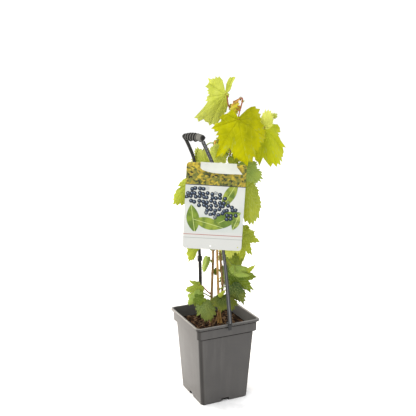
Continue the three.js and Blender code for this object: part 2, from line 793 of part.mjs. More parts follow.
// The hook at a strap's foot: a finger outside the lip, a bridge over it and a finger inside the wall.
function hookSolid(side) {
  const near = POT.band - POT.wall - CLEAR - HOOK.inner;
  const far = POT.lip + CLEAR + CARRIER.thick;
  const top = POT.height + CLEAR;
  const piece = (from, to, low) => {
    const size = [CARRIER.strap[0][3], to - from, top + HOOK.bridge - low];
    return block(size, [0, side * (from + to) / 2, (top + HOOK.bridge + low) / 2]);
  };
  const outer = piece(far - CARRIER.thick, far, top - HOOK.drop);
  const inner = piece(near, near + HOOK.inner, top - HOOK.drop);
  return outer.add(piece(near, far, top)).add(inner);
}

// A pad that fills the space between the front strap and the card, at a share of the card's height from its
// middle.
function padSolid(share) {
  const near = strapAt(-1, onCard(0, share * CARD.height, 0).z);
  const { right, up, out } = cardAxes();
  const space = onCard(0, 0, -CARD.thick / 2 - CLEAR).sub(near).dot(out);
  const pad = new THREE.BoxGeometry(PAD.width, PAD.height, space + PAD.sunk);
  const centre = near.addScaledVector(out, (space - PAD.sunk) / 2);
  return solid(pad.applyMatrix4(new THREE.Matrix4().makeBasis(right, up, out).setPosition(centre)));
}

function strapGeometry(side) {
  const strap = solid(skin(strapRings(side))).add(hookSolid(side));
  if (side > 0) return geometryOf(strap.add(block(BUCKLE.size, strapAt(side, BUCKLE.height).toArray())));
  return geometryOf(PAD.heights.reduce((whole, share) => whole.add(padSolid(share)), strap));
}

// The middle line of the grip, from front to back.
function gripPath() {
  const [front, back] = [-GRIP.half, GRIP.half].map((y) => v3(-GRIP.lean, y, GRIP.height));
  return new THREE.LineCurve3(front, back);
}

// The grip: an oval bar, arched on top, with finger hollows below and sockets for the straps' tops.
function gripGeometry() {
  const rings = [];
  for (let s = 0; s <= GRIP.steps; s++) {
    const t = s / GRIP.steps;
    const centre = gripPath().getPoint(t);
    const end = Math.min(1, GRIP.endShare + GRIP.endReach * Math.min(t, 1 - t));
    const above = GRIP.above * end + GRIP.arch * Math.sin(Math.PI * t);
    const below = GRIP.below * end - GRIP.hollow * Math.cos(2 * Math.PI * GRIP.fingers * t);
    const ring = [];
    for (let i = 0; i < GRIP.sides; i++) {
      const angle = (2 * Math.PI * i) / GRIP.sides;
      const up = Math.sin(angle) * (Math.sin(angle) > 0 ? above : below);
      ring.push(centre.clone().add(v3(GRIP.wide * end * Math.cos(angle), 0, up)));
    }
    rings.push(ring);
  }
  let grip = solid(skin(rings));
  [-1, 1].forEach((side) => {
    const socket = strapRings(side, CLEAR).slice(-3);
    const beyond = strapPath(side).getTangentAt(1).multiplyScalar(CLEAR);
    socket.push(socket.at(-1).map((p) => p.clone().add(beyond)));
    grip = grip.subtract(solid(skin(socket)));
  });
  return geometryOf(grip);
}

// The card: a flat plate with rounded corners and two punched holes at its foot.
function cardGeometry() {
  const x = CARD.width / 2 - CARD.corner;
  const y = CARD.height / 2 - CARD.corner;
  const outline = new THREE.Shape();
  [[x, -y], [x, y], [-x, y], [-x, -y]].forEach(([cx, cy], k) => {
    const start = ((k - 1) * Math.PI) / 2;
    outline.absarc(cx, cy, CARD.corner, start, start + Math.PI / 2);
  });
  outline.closePath();
  CARD.holes.forEach((right) => {
    const hole = new THREE.Path();
    hole.absarc(right, CARD.holeHeight - CARD.height / 2, CARD.holeRadius, 0, Math.PI * 2, true);
    outline.holes.push(hole);
  });
  const depth = CARD.thick;
  const curveSegments = CARD.cornerSteps;
  const plate = new THREE.ExtrudeGeometry(outline, { depth, curveSegments, bevelEnabled: false });
  plate.translate(0, 0, -depth / 2);
  const { right, up, out, centre } = cardAxes();
  plate.applyMatrix4(new THREE.Matrix4().makeBasis(right, up, out).setPosition(centre));
  return geometryOf(solid(plate));
}

// The slip: a strip of paper folded over the card's top edge, whose front half stands out as it hangs down.
function slipGeometry() {
  const top = CARD.height / 2;
  const t = SLIP.thick / 2;
  const gap = CARD.thick / 2 + CLEAR + t;
  const line = [[top - SLIP.back, -gap], [top - SLIP.bend, -gap], [top + gap, -gap / 2], [top + gap, gap / 2],
    [top - SLIP.bend, gap + t], [top - SLIP.drop / 2, gap + SLIP.bulge * SLIP.belly],
    [top - SLIP.drop, gap + SLIP.bulge]];
  const curve = throughPoints(line.map(([up, out]) => v3(0, up, out)));
  const rings = [];
  for (let s = 0; s <= SLIP.steps; s++) {
    const p = curve.getPointAt(s / SLIP.steps);
    const lead = curve.getTangentAt(s / SLIP.steps);
    const front = Math.max(0, (s / SLIP.steps) * 2 - 1);
    const left = SLIP.left + SLIP.narrow * front * front;
    const right = SLIP.right + SLIP.widen * front;
    const corners = [[left, t], [right, t], [right, -t], [left, -t]];
    const corner = ([across, lift]) => onCard(across, p.y - lead.z * lift, p.z + lead.y * lift);
    rings.push(corners.map(corner));
  }
  return skin(rings);
}

const FINISH = {
  pot: new THREE.MeshStandardMaterial({ color: 0x55534f, roughness: 0.55 }),
  soil: new THREE.MeshStandardMaterial({ color: 0x4a3020, roughness: 0.95 }),
  bark: new THREE.MeshStandardMaterial({ color: 0xa8763c, roughness: 0.8 }),
  shoot: new THREE.MeshStandardMaterial({ color: 0x7b4a2c, roughness: 0.7 }),
  leaf: new THREE.MeshStandardMaterial({ color: 0x86a820, roughness: 0.55 }),
  handle: new THREE.MeshStandardMaterial({ color: 0x3b3b3d, roughness: 0.45 }),
  card: new THREE.MeshStandardMaterial({ color: 0xd8d8d2, roughness: 0.4 }),
  paper: new THREE.MeshStandardMaterial({ color: 0xf2f2ee, roughness: 0.7 }),
};

const vine = new THREE.Group();

function place(name, geometry, finish) {
  const mesh = new THREE.Mesh(geometry, finish);
  mesh.name = name;
  vine.add(mesh);
}

place('pot', potGeometry(), FINISH.pot);
place('soil', soilGeometry(), FINISH.soil);
place('main_stem', limbGeometry(LIMBS.main_stem), FINISH.bark);
place('left_shoot', limbGeometry(LIMBS.left_shoot), FINISH.shoot);
place('right_shoot', limbGeometry(LIMBS.right_shoot), FINISH.shoot);
place('front_strap', strapGeometry(-1), FINISH.handle);
place('back_strap', strapGeometry(1), FINISH.handle);
place('grip', gripGeometry(), FINISH.handle);
place('picture_card', cardGeometry(), FINISH.card);
place('paper_slip', slipGeometry(), FINISH.paper);
growLeaves().forEach(({ mass, leaves }) => place(mass.name, massGeometry(leaves), FINISH.leaf));

export default vine;
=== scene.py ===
"""A young grapevine in a square nursery pot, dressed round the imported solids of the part.

The classes give their sizes in millimetres, in the frame of the part, and meshes are made in metres.
A way round the pot is an angle in degrees: 0 is straight to the front (-Y), and 90 to the right (+X).
"""
import logging
import math
from dataclasses import dataclass, field
from enum import Enum
from functools import partial
from typing import Callable, Iterable, Optional, Sequence, Union

import bmesh
import bpy
from mathutils import Matrix, Vector, noise


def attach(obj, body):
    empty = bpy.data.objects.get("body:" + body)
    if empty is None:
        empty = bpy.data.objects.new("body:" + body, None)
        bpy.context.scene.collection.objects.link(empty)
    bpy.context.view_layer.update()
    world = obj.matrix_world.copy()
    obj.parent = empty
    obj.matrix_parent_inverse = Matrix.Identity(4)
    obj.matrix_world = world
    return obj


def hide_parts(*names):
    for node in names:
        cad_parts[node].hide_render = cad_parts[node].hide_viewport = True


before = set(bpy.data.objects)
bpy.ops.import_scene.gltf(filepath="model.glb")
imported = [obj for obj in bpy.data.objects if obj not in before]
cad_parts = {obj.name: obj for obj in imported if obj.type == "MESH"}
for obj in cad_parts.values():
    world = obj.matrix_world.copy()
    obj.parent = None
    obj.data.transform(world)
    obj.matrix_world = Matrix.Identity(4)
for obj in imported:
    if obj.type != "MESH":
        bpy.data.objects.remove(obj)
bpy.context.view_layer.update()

Socket = bpy.types.NodeSocket
Value = Union[float, Sequence[float], Socket]
Colour = tuple[float, ...]

LOG = logging.getLogger("grapevine")
BODY = "root"
MM = 0.001
TINY = 1e-4
UP = Vector((0, 0, 1))
CLEAR = 0.3
VIEW_WAY = -25
FULL_TURN = 2 * math.pi


# ---- numbers and lines ----


def along(way: float) -> Vector:
    """Gives the level unit vector along a way round the pot."""
    return Vector((math.sin(math.radians(way)), -math.cos(math.radians(way)), 0))


def turned(start: Vector, towards: Vector, angle: float) -> Vector:
    """Turns a direction by an angle in degrees towards another that is square to it."""
    return start * math.cos(math.radians(angle)) + towards * math.sin(math.radians(angle))


def lerp(low: float, high: float, share: float) -> float:
    """Gives the value at a share of the way from low to high."""
    return low + (high - low) * share


def from_table(rows: Sequence[tuple[float, float]], key: float) -> float:
    """Reads a value between the rows of a table.

    Args:
        rows: Pairs of key and value, in order of their keys.
        key: The key to read at; beyond the table the end row holds.

    Returns:
        The value, on a straight line between the two nearest rows.
    """
    if key <= rows[0][0]:
        return rows[0][1]
    for (a, low), (b, high) in zip(rows, rows[1:]):
        if key <= b:
            return lerp(low, high, (key - a) / (b - a))
    return rows[-1][1]


class Dice:
    """A repeatable stream of numbers, the same as the one in the part's source."""

    def __init__(self, seed: int) -> None:
        """Starts the stream from a whole number."""
        self.state = (seed * 2654435761) & 0xFFFFFFFF

    def roll(self) -> float:
        """Gives the next number from 0 to 1."""
        self.state = (self.state * 1664525 + 1013904223) & 0xFFFFFFFF
        return self.state / 4294967296

    def between(self, low: float, high: float) -> float:
        """Gives the next number between two values."""
        return lerp(low, high, self.roll())


class Line:
    """A smooth line in space, with places given by share of its length."""

    DIVISIONS = 200

    def __init__(self, point: Callable[[float], Vector]) -> None:
        """Measures a line.

        Args:
            point: Gives the point of the line at a parameter from 0 to 1.
        """
        self.point = point
        places = [point(k / self.DIVISIONS) for k in range(self.DIVISIONS + 1)]
        self.lengths = [0.0]
        for a, b in zip(places, places[1:]):
            self.lengths.append(self.lengths[-1] + (b - a).length)

    @property
    def length(self) -> float:
        """Gives the length of the whole line."""
        return self.lengths[-1]

    def parameter(self, share: float) -> float:
        """Finds the parameter at a share of the line's length.

        Args:
            share: The share of the length, from 0 to 1.

        Returns:
            The parameter, from 0 to 1.
        """
        wanted = share * self.length
        low, high = 0, self.DIVISIONS
        while high - low > 1:
            middle = (low + high) // 2
            if self.lengths[middle] < wanted:
                low = middle
            else:
                high = middle
        step = self.lengths[high] - self.lengths[low]
        return (low + (wanted - self.lengths[low]) / step) / self.DIVISIONS

    def at(self, share: float) -> Vector:
        """Gives the point at a share of the line's length."""
        return self.point(self.parameter(share))

    def lead(self, share: float) -> Vector:
        """Gives the direction of the line at a share of its length."""
        t = self.parameter(share)
        return (self.point(min(1.0, t + TINY)) - self.point(max(0.0, t - TINY))).normalized()

    def spaced(self, count: int) -> list[Vector]:
        """Gives count + 1 points at equal steps along the line."""
        return [self.at(k / count) for k in range(count + 1)]

    def frames(self, count: int) -> list[tuple[Vector, Vector, Vector]]:
        """Gives points along the line with two directions square to it, which turn as little as may be.

        Args:
            count: The number of steps along the line.

        Returns:
            A point, a first and a second direction for each of the count + 1 places.
        """
        found = []
        first = self.lead(0).orthogonal().normalized()
        for k in range(count + 1):
            lead = self.lead(k / count)
            first = (first - lead * first.dot(lead)).normalized()
            found.append((self.at(k / count), first, lead.cross(first)))
        return found


def spline(points: Sequence[Sequence[float]]) -> Line:
    """Makes a centripetal Catmull-Rom line through points.

    Args:
        points: The points, in their order along the line.

    Returns:
        The measured line.
    """
    knots = [Vector(p) for p in points]
    knots = [2 * knots[0] - knots[1], *knots, 2 * knots[-1] - knots[-2]]
    spans = len(knots) - 3

    def point(t: float) -> Vector:
        """Gives a point of the line.

        Args:
            t: The parameter, from 0 to 1.

        Returns:
            The point.
        """
        k = min(int(t * spans), spans - 1)
        weight = t * spans - k
        a, b, c, d = knots[k : k + 4]
        before, here, after = [max((q - p).length ** 0.5, TINY) for p, q in ((a, b), (b, c), (c, d))]
        start = ((b - a) / before - (c - a) / (before + here) + (c - b) / here) * here
        end = ((c - b) / here - (d - b) / (here + after) + (d - c) / after) * here
        square = 3 * (c - b) - 2 * start - end
        cube = 2 * (b - c) + start + end
        return b + start * weight + square * weight**2 + cube * weight**3

    return Line(point)


def bezier(a: Vector, b: Vector, c: Vector, d: Vector) -> Line:
    """Makes a cubic line between two points.

    Args:
        a: The start.
        b: The handle of the start.
        c: The handle of the end.
        d: The end.

    Returns:
        The measured line.
    """

    def point(t: float) -> Vector:
        """Gives the point of the line at a parameter from 0 to 1."""
        s = 1 - t
        return a * s**3 + b * (3 * s * s * t) + c * (3 * s * t * t) + d * t**3

    return Line(point)


# ---- meshes ----


class Sheaf:
    """Gathers many small closed shapes into one mesh."""

    def __init__(self, name: str, materials: Sequence[bpy.types.Material]) -> None:
        """Starts an empty mesh.

        Args:
            name: The name of the piece.
            materials: Its materials, in the order of their slots.
        """
        self.name = name
        self.materials = list(materials)
        self.points: list[Vector] = []
        self.spots: list[tuple[float, float]] = []
        self.faces: list[Sequence[int]] = []
        self.slots: list[int] = []
        self.smooth: list[bool] = []

    def point(self, place: Vector, spot: tuple[float, float] = (0.0, 0.0)) -> int:
        """Adds a point.

        Args:
            place: The point, in millimetres.
            spot: Its place on the pattern.

        Returns:
            Its number in the mesh.
        """
        self.points.append(place * MM)
        self.spots.append(spot)
        return len(self.points) - 1

    def face(self, corners: Sequence[int], slot: int = 0, smooth: bool = True) -> None:
        """Adds a face.

        Args:
            corners: The numbers of its corners.
            slot: Its material slot.
            smooth: Whether it is shaded smooth.
        """
        self.faces.append(corners)
        self.slots.append(slot)
        self.smooth.append(smooth)

    def tube(self, line: Line, steps: int, sides: int, radius: Callable[[float], float], slot: int = 0) -> None:
        """Adds a round closed tube.

        Args:
            line: The centre line.
            steps: The number of steps along it.
            sides: The number of sides round it.
            radius: Gives the radius at a share of the line's length.
            slot: The material slot of its faces.
        """
        rings = []
        for k, (centre, a, b) in enumerate(line.frames(steps)):
            r = radius(k / steps)
            turns = [FULL_TURN * i / sides for i in range(sides)]
            rings.append([self.point(centre + a * (r * math.cos(w)) + b * (r * math.sin(w))) for w in turns])
        for inner, outer in zip(rings, rings[1:]):
            for i in range(sides):
                j = (i + 1) % sides
                self.face((inner[i], inner[j], outer[j], outer[i]), slot)
        self.face(rings[0][::-1], slot)
        self.face(rings[-1], slot)

    def build(self) -> bpy.types.Object:
        """Makes the object, with a UV map for the patterns that follow its surfaces.

        Returns:
            The piece.
        """
        mesh = bpy.data.meshes.new(self.name)
        mesh.from_pydata([tuple(p) for p in self.points], [], self.faces)
        mesh.polygons.foreach_set("material_index", self.slots)
        mesh.polygons.foreach_set("use_smooth", self.smooth)
        layer = mesh.uv_layers.new(name="UVMap")
        for loop in mesh.loops:
            layer.data[loop.index].uv = self.spots[loop.vertex_index]
        return placed(mesh, self.materials)


def placed(mesh: bpy.types.Mesh, materials: Iterable[bpy.types.Material]) -> bpy.types.Object:
    """Makes a mesh into an object of the scene that rides on the part's body.

    Args:
        mesh: The finished mesh, in metres.
        materials: The materials of its slots.

    Returns:
        The object, at the origin.
    """
    for material in materials:
        mesh.materials.append(material)
    mesh.update()
    made = bpy.data.objects.new(mesh.name, mesh)
    bpy.context.scene.collection.objects.link(made)
    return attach(made, BODY)


def finished(
    bm: bmesh.types.BMesh, name: str, materials: Iterable[bpy.types.Material], crease: float = 35.0
) -> bpy.types.Object:
    """Turns worked-out geometry in millimetres into a piece.

    Args:
        bm: The geometry, which is freed.
        name: The name of the piece.
        materials: The materials of its slots.
        crease: The angle in degrees from which an edge stays sharp.

    Returns:
        The object.
    """
    bmesh.ops.scale(bm, vec=(MM, MM, MM), verts=bm.verts)
    for face in bm.faces:
        face.smooth = True
    for edge in bm.edges:
        edge.smooth = len(edge.link_faces) == 2 and edge.calc_face_angle() < math.radians(crease)
    mesh = bpy.data.meshes.new(name)
    bm.to_mesh(mesh)
    bm.free()
    return placed(mesh, materials)


def rolled(bm: bmesh.types.BMesh, sides: int, steps: int, place: Callable[[int, float], Vector]) -> None:
    """Rolls a grid into a closed tube.

    Args:
        bm: Takes the new geometry.
        sides: The number of sides round the tube.
        steps: The number of steps along it.
        place: Gives the point at a side's number and a share of the length.
    """
    made = bmesh.ops.create_grid(bm, x_segments=sides, y_segments=steps, size=0.5)
    for vert in made["verts"]:
        side = round((vert.co.x + 0.5) * sides) % sides
        vert.co = place(side, vert.co.y + 0.5)
    faces = {face for vert in made["verts"] for face in vert.link_faces}
    bmesh.ops.remove_doubles(bm, verts=made["verts"], dist=TINY)
    faces = [face for face in faces if face.is_valid]
    open_edges = [edge for face in faces for edge in face.edges if edge.is_boundary]
    faces += bmesh.ops.holes_fill(bm, edges=list(set(open_edges)), sides=0)["faces"]
    bmesh.ops.recalc_face_normals(bm, faces=faces)


def softened_box(bm: bmesh.types.BMesh, size: Sequence[float], matrix: Matrix, radius: float, slot: int = 0) -> None:
    """Adds a box with rounded edges.

    Args:
        bm: Takes the new geometry.
        size: Its width, depth and height.
        matrix: Turns and places it.
        radius: How far its edges are rounded.
        slot: The material slot of its faces.
    """
    made = bmesh.ops.create_cube(bm, size=1.0, matrix=matrix @ Matrix.Diagonal((*size, 1.0)))
    edges = list({edge for vert in made["verts"] for edge in vert.link_edges})
    bevelled = bmesh.ops.bevel(bm, geom=edges, offset=radius, segments=3, profile=0.5, affect="EDGES", material=-1)
    for face in bevelled["faces"]:
        face.material_index = slot


# ---- finishes ----


def hue(text: str, share: float = 1.0) -> Colour:
    """Reads a colour as it should look, as the linear colour of a surface.

    Args:
        text: Six hexadecimal digits.
        share: How much of it the surface sends back under the scene's lights.

    Returns:
        Red, green, blue and a full alpha.
    """
    parts = [int(text[k : k + 2], 16) / 255 for k in (0, 2, 4)]
    linear = [((c + 0.055) / 1.055) ** 2.4 if c > 0.04045 else c / 12.92 for c in parts]
    return (*[share * c for c in linear], 1.0)


def mixed(a: str, b: str, share: float) -> str:
    """Gives the colour at a share of the way from a to b, both in hexadecimal digits."""
    return "".join(f"{round(lerp(int(a[k:k + 2], 16), int(b[k:k + 2], 16), share)):02X}" for k in (0, 2, 4))


def blended(a: Colour, b: Colour, share: float) -> Colour:
    """Gives the colour at a share of the way from a to b."""
    return tuple(lerp(x, y, share) for x, y in zip(a, b))


class Net:
    """Adds nodes to a tree and wires them."""

    def __init__(self, tree: bpy.types.NodeTree) -> None:
        """Takes the tree to add to."""
        self.tree = tree

    def add(self, kind: str, inputs: Optional[dict] = None, **settings: object) -> bpy.types.Node:
        """Adds a node.

        Args:
            kind: The node's type.
            inputs: A value or an output socket for each input, by its name or number.
            **settings: The node's own settings, which are made before its inputs are fed.

        Returns:
            The node.
        """
        node = self.tree.nodes.new(kind)
        for name, value in settings.items():
            setattr(node, name, value)
        for key, value in (inputs or {}).items():
            self.feed(value, node.inputs[key])
        return node

    def feed(self, value: Value, socket: Socket) -> None:
        """Wires an output to a socket, or sets the socket's own value.

        Args:
            value: The output socket or the plain value.
            socket: The input socket.
        """
        if isinstance(value, Socket):
            self.tree.links.new(value, socket)
        else:
            socket.default_value = value

    def math(self, operation: str, *values: Value) -> Socket:
        """Adds a sum on numbers or sockets, and gives its result."""
        return self.add("ShaderNodeMath", dict(enumerate(values)), operation=operation).outputs[0]

    def mix(self, share: Value, a: Value, b: Value) -> Socket:
        """Adds a mix of two colours, and gives its result."""
        return self.add("ShaderNodeMix", {0: share, 6: a, 7: b}, data_type="RGBA").outputs[2]

    def ramp(self, share: Value, stops: Sequence[tuple[float, Colour]]) -> Socket:
        """Adds a colour ramp, and gives its colour.

        Args:
            share: The socket that drives it.
            stops: Pairs of place and colour.

        Returns:
            The colour socket.
        """
        node = self.add("ShaderNodeValToRGB", {0: share})
        stops_made = node.color_ramp.elements
        while len(stops_made) < len(stops):
            stops_made.new(0.5)
        for made, (place, colour) in zip(stops_made, stops):
            made.position = place
            made.color = colour
        return node.outputs[0]

    def noise(self, vector: Socket, scale: Value, detail: float = 3.0) -> Socket:
        """Adds a noise pattern, and gives its value."""
        return self.add("ShaderNodeTexNoise", {"Vector": vector, "Scale": scale, "Detail": detail}).outputs[0]

    def smooth_step(self, value: Value, low: float, high: float) -> Socket:
        """Adds a soft step from 0 at low to 1 at high, and gives its value."""
        inputs = {"Value": value, "From Min": low, "From Max": high}
        return self.add("ShaderNodeMapRange", inputs, interpolation_type="SMOOTHSTEP").outputs[0]


def group(
    name: str, inputs: Sequence[tuple[str, str]], outputs: Sequence[tuple[str, str]]
) -> tuple[Net, dict[str, Socket], bpy.types.Node]:
    """Starts a shader node group.

    Args:
        name: The name of the group.
        inputs: Name and socket type of each input.
        outputs: Name and socket type of each output.

    Returns:
        Its net, its input sockets by name, and the node that takes its outputs.
    """
    tree = bpy.data.node_groups.new(name, "ShaderNodeTree")
    for socket_name, kind in inputs:
        tree.interface.new_socket(name=socket_name, in_out="INPUT", socket_type=kind)
    for socket_name, kind in outputs:
        tree.interface.new_socket(name=socket_name, in_out="OUTPUT", socket_type=kind)
    net = Net(tree)
    into = net.add("NodeGroupInput")
    return net, {s.name: s for s in into.outputs if s.name}, net.add("NodeGroupOutput")


class Effects:
    """The node groups that several finishes share, each built once."""

    FLOAT = "NodeSocketFloat"
    VECTOR = "NodeSocketVector"
    VEIN_SLANT = 0.8
    VEIN_STEP = 0.13
    VEIN_WANDER = 0.035
    VEIN_FROM = 0.4
    RIM = (0.3, 0.85)

    def __init__(self) -> None:
        """Builds every group."""
        self.grain = self.build_grain()
        self.veins = self.build_veins()

    def build_grain(self) -> bpy.types.NodeTree:
        """Builds fine grain: coarse and fine noise as a mask, and the height for a bump.

        Returns:
            The group.
        """
        net, given, out = group(
            "surface_grain",
            [("Vector", self.VECTOR), ("Coarse", self.FLOAT), ("Fine", self.FLOAT)],
            [("Mask", self.FLOAT), ("Height", self.FLOAT)],
        )
        coarse = net.noise(given["Vector"], given["Coarse"])
        fine = net.noise(given["Vector"], given["Fine"], 5.0)
        net.feed(net.smooth_step(coarse, 0.3, 0.7), out.inputs["Mask"])
        net.feed(net.math("ADD", net.math("MULTIPLY", coarse, 0.4), fine), out.inputs["Height"])
        return net.tree

    def build_veins(self) -> bpy.types.NodeTree:
        """Builds the side veins of a leaf in the blade's UV map, the swell between them, and the leaf's rim.

        Returns:
            The group.
        """
        outputs = [("Mask", self.FLOAT), ("Swell", self.FLOAT), ("Rim", self.FLOAT)]
        net, given, out = group("leaf_side_veins", [("Vector", self.VECTOR)], outputs)
        parts = net.add("ShaderNodeSeparateXYZ", {0: given["Vector"]}).outputs
        u = net.math("SUBTRACT", parts[0], Blade.MIDDLE)
        v = net.math("ABSOLUTE", net.math("SUBTRACT", parts[1], Blade.MIDDLE))
        turn = net.math("DEGREES", net.math("ARCTAN2", v, u))
        reach = net.math("SQRT", net.math("ADD", net.math("MULTIPLY", u, u), net.math("MULTIPLY", v, v)))
        nearest = 0.0
        for low, high in zip(Blade.VEINS, Blade.VEINS[1:]):
            passed = net.math("GREATER_THAN", turn, (low + high) / 2)
            nearest = net.math("ADD", net.math("MULTIPLY", passed, float(high - low)), nearest)
        off = net.math("RADIANS", net.math("SUBTRACT", turn, nearest))
        out_along = net.math("MULTIPLY", reach, net.math("COSINE", off))
        aside = net.math("MULTIPLY", reach, net.math("ABSOLUTE", net.math("SINE", off)))
        slant = net.math("SUBTRACT", out_along, net.math("MULTIPLY", aside, self.VEIN_SLANT))
        slant = net.math("MULTIPLY_ADD", net.noise(given["Vector"], 14.0), self.VEIN_WANDER, slant)
        beat = net.math("FRACT", net.math("DIVIDE", slant, self.VEIN_STEP * Blade.SPREAD))
        ridge = net.math("ABSOLUTE", net.math("SUBTRACT", beat, 0.5))
        hollow = net.math("MULTIPLY", net.math("MULTIPLY", ridge, ridge), 4.0)
        net.feed(net.smooth_step(ridge, self.VEIN_FROM, 0.5), out.inputs["Mask"])
        net.feed(net.math("SUBTRACT", 1.0, hollow), out.inputs["Swell"])
        net.feed(net.smooth_step(reach, *[share * Blade.SPREAD for share in self.RIM]), out.inputs["Rim"])
        return net.tree


@dataclass(frozen=True)
class Finish:
    """A material with the shader's plain values; each kind adds its own pattern."""

    name: str
    colour: str
    share: float = 1.0
    roughness: float = 0.5
    specular: float = 0.5
    grain: float = 0.1

    MOTTLE = 0.12

    def build(self, effects: Effects) -> bpy.types.Material:
        """Makes the material.

        Args:
            effects: The shared node groups.

        Returns:
            The finished material.
        """
        material = bpy.data.materials.new(self.name)
        material.use_nodes = True
        net = Net(material.node_tree)
        shader = material.node_tree.nodes["Principled BSDF"]
        shader.inputs["Roughness"].default_value = self.roughness
        shader.inputs["Specular IOR Level"].default_value = self.specular
        self.dress(net, shader, effects)
        return material

    def base(self) -> Colour:
        """Gives the base colour of the surface."""
        return hue(self.colour, self.share)

    def grained(self, net: Net, effects: Effects, vector: Socket, coarse: float, fine: float) -> bpy.types.Node:
        """Places the grain group in the material."""
        inputs = {"Vector": vector, "Coarse": coarse, "Fine": fine}
        return net.add("ShaderNodeGroup", inputs, node_tree=effects.grain)

    def bump(self, net: Net, shader: bpy.types.Node, height: Socket, distance: float) -> None:
        """Feeds a height to the shader's normal, with its depth in millimetres."""
        inputs = {"Height": height, "Distance": distance * MM, "Strength": 1.0}
        net.feed(net.add("ShaderNodeBump", inputs).outputs[0], shader.inputs["Normal"])

    def dress(self, net: Net, shader: bpy.types.Node, effects: Effects) -> None:
        """Adds an even mottle and a fine bump.

        Args:
            net: The material's net.
            shader: Its shader.
            effects: The shared node groups.
        """
        place = net.add("ShaderNodeTexCoord").outputs["Object"]
        node = self.grained(net, effects, place, 30.0, 900.0)
        base = self.base()
        shaded = blended(base, hue("000000"), self.MOTTLE)
        net.feed(net.mix(node.outputs[0], shaded, base), shader.inputs["Base Color"])
        self.bump(net, shader, node.outputs[1], self.grain)


@dataclass(frozen=True)
class PlasticFinish(Finish):
    """Moulded plastic, with faint scuffs and uneven gloss."""

    scuff: float = 0.1

    DUST = "C8C2B8"
    FLOW = (60.0, 60.0, 6.0)
    UNEVEN = 0.12

    def dress(self, net: Net, shader: bpy.types.Node, effects: Effects) -> None:
        """Adds flow marks, dusty patches and a matt grain.

        Args:
            net: The material's net.
            shader: Its shader.
            effects: The shared node groups.
        """
        place = net.add("ShaderNodeTexCoord").outputs["Object"]
        node = self.grained(net, effects, place, 9.0, 1400.0)
        stretched = net.add("ShaderNodeMapping", {"Vector": place, "Scale": self.FLOW}).outputs[0]
        marks = net.smooth_step(net.noise(stretched, 1.0, 4.0), 0.45, 0.75)
        base = self.base()
        dusty = blended(base, hue(self.DUST), self.scuff)
        worn = net.mix(node.outputs[0], base, blended(base, dusty, 0.6))
        net.feed(net.mix(marks, worn, dusty), shader.inputs["Base Color"])
        gloss = net.math("MULTIPLY_ADD", node.outputs[0], self.UNEVEN, self.roughness - self.UNEVEN / 2)
        net.feed(gloss, shader.inputs["Roughness"])
        self.bump(net, shader, node.outputs[1], self.grain)


@dataclass(frozen=True)
class BarkFinish(Finish):
    """Woody skin, with streaks along the stem."""

    streak: str = "3A2418"
    depth: float = 0.5

    WEATHERED = "E6C79A"
    FIBRES = (520.0, 520.0, 45.0)

    def dress(self, net: Net, shader: bpy.types.Node, effects: Effects) -> None:
        """Adds long dark streaks, pale patches and a fibrous bump.

        Args:
            net: The material's net.
            shader: Its shader.
            effects: The shared node groups.
        """
        place = net.add("ShaderNodeTexCoord").outputs["Object"]
        stretched = net.add("ShaderNodeMapping", {"Vector": place, "Scale": self.FIBRES}).outputs[0]
        fibres = net.noise(stretched, 1.0, 6.0)
        node = self.grained(net, effects, place, 60.0, 700.0)
        base = self.base()
        pale = blended(base, hue(self.WEATHERED), 0.22)
        wood = net.mix(node.outputs[0], base, pale)
        lines = net.smooth_step(fibres, 0.48, 0.66)
        dark = hue(self.streak, self.share)
        net.feed(net.mix(net.math("MULTIPLY", lines, 0.75), wood, dark), shader.inputs["Base Color"])
        height = net.math("ADD", net.math("MULTIPLY", fibres, 1.4), node.outputs[1])
        self.bump(net, shader, height, self.depth)


@dataclass(frozen=True)
class BladeFinish(Finish):
    """One side of a leaf blade: its side veins and patches, with painted light on its sunnier rim and painted shade
    in its darker centre.
    """

    vein: str = "DDE39A"
    vein_share: float = 0.1
    sun: str = "E0DA00"
    sun_share: float = 0.28
    depth: float = 0.4

    DEEP = "1E3A08"
    DEEP_SHARE = 0.32
    # painted light on the rim and painted shade in the middle of each blade
    SUNNY_RIM = 0.6
    PAINTED_SHADE_CENTRE = 0.4

    def dress(self, net: Net, shader: bpy.types.Node, effects: Effects) -> None:
        """Adds side veins, a broad and a fine mottle, the puckers between the veins, and painted light and shade: a
        sunnier rim and a darker centre.

        Args:
            net: The material's net.
            shader: Its shader.
            effects: The shared node groups.
        """
        coordinates = net.add("ShaderNodeTexCoord").outputs
        node = self.grained(net, effects, coordinates["Object"], 70.0, 420.0)
        veins = net.add("ShaderNodeGroup", {0: coordinates["UV"]}, node_tree=effects.veins)
        base = self.base()
        pale = blended(base, hue(self.vein, self.share), self.vein_share)
        deep = blended(base, hue(self.DEEP), self.DEEP_SHARE)
        sunny = blended(base, hue(self.sun, self.share), self.sun_share)
        patches = net.smooth_step(net.noise(coordinates["Object"], 21.0, 2.0), 0.38, 0.64)
        blade = net.mix(node.outputs[0], net.mix(patches, deep, base), net.mix(patches, base, sunny))
        # painted light and shade: the rim is mixed towards the sunny colour and the middle towards the deep green
        rim = veins.outputs["Rim"]
        painted_shade_centre = net.math("MULTIPLY_ADD", rim, -self.PAINTED_SHADE_CENTRE, self.PAINTED_SHADE_CENTRE)
        blade = net.mix(net.math("MULTIPLY", rim, self.SUNNY_RIM), net.mix(painted_shade_centre, blade, deep), sunny)
        net.feed(net.mix(veins.outputs["Mask"], blade, pale), shader.inputs["Base Color"])
        height = net.math("MULTIPLY_ADD", node.outputs[1], 0.4, veins.outputs["Swell"])
        self.bump(net, shader, height, self.depth)


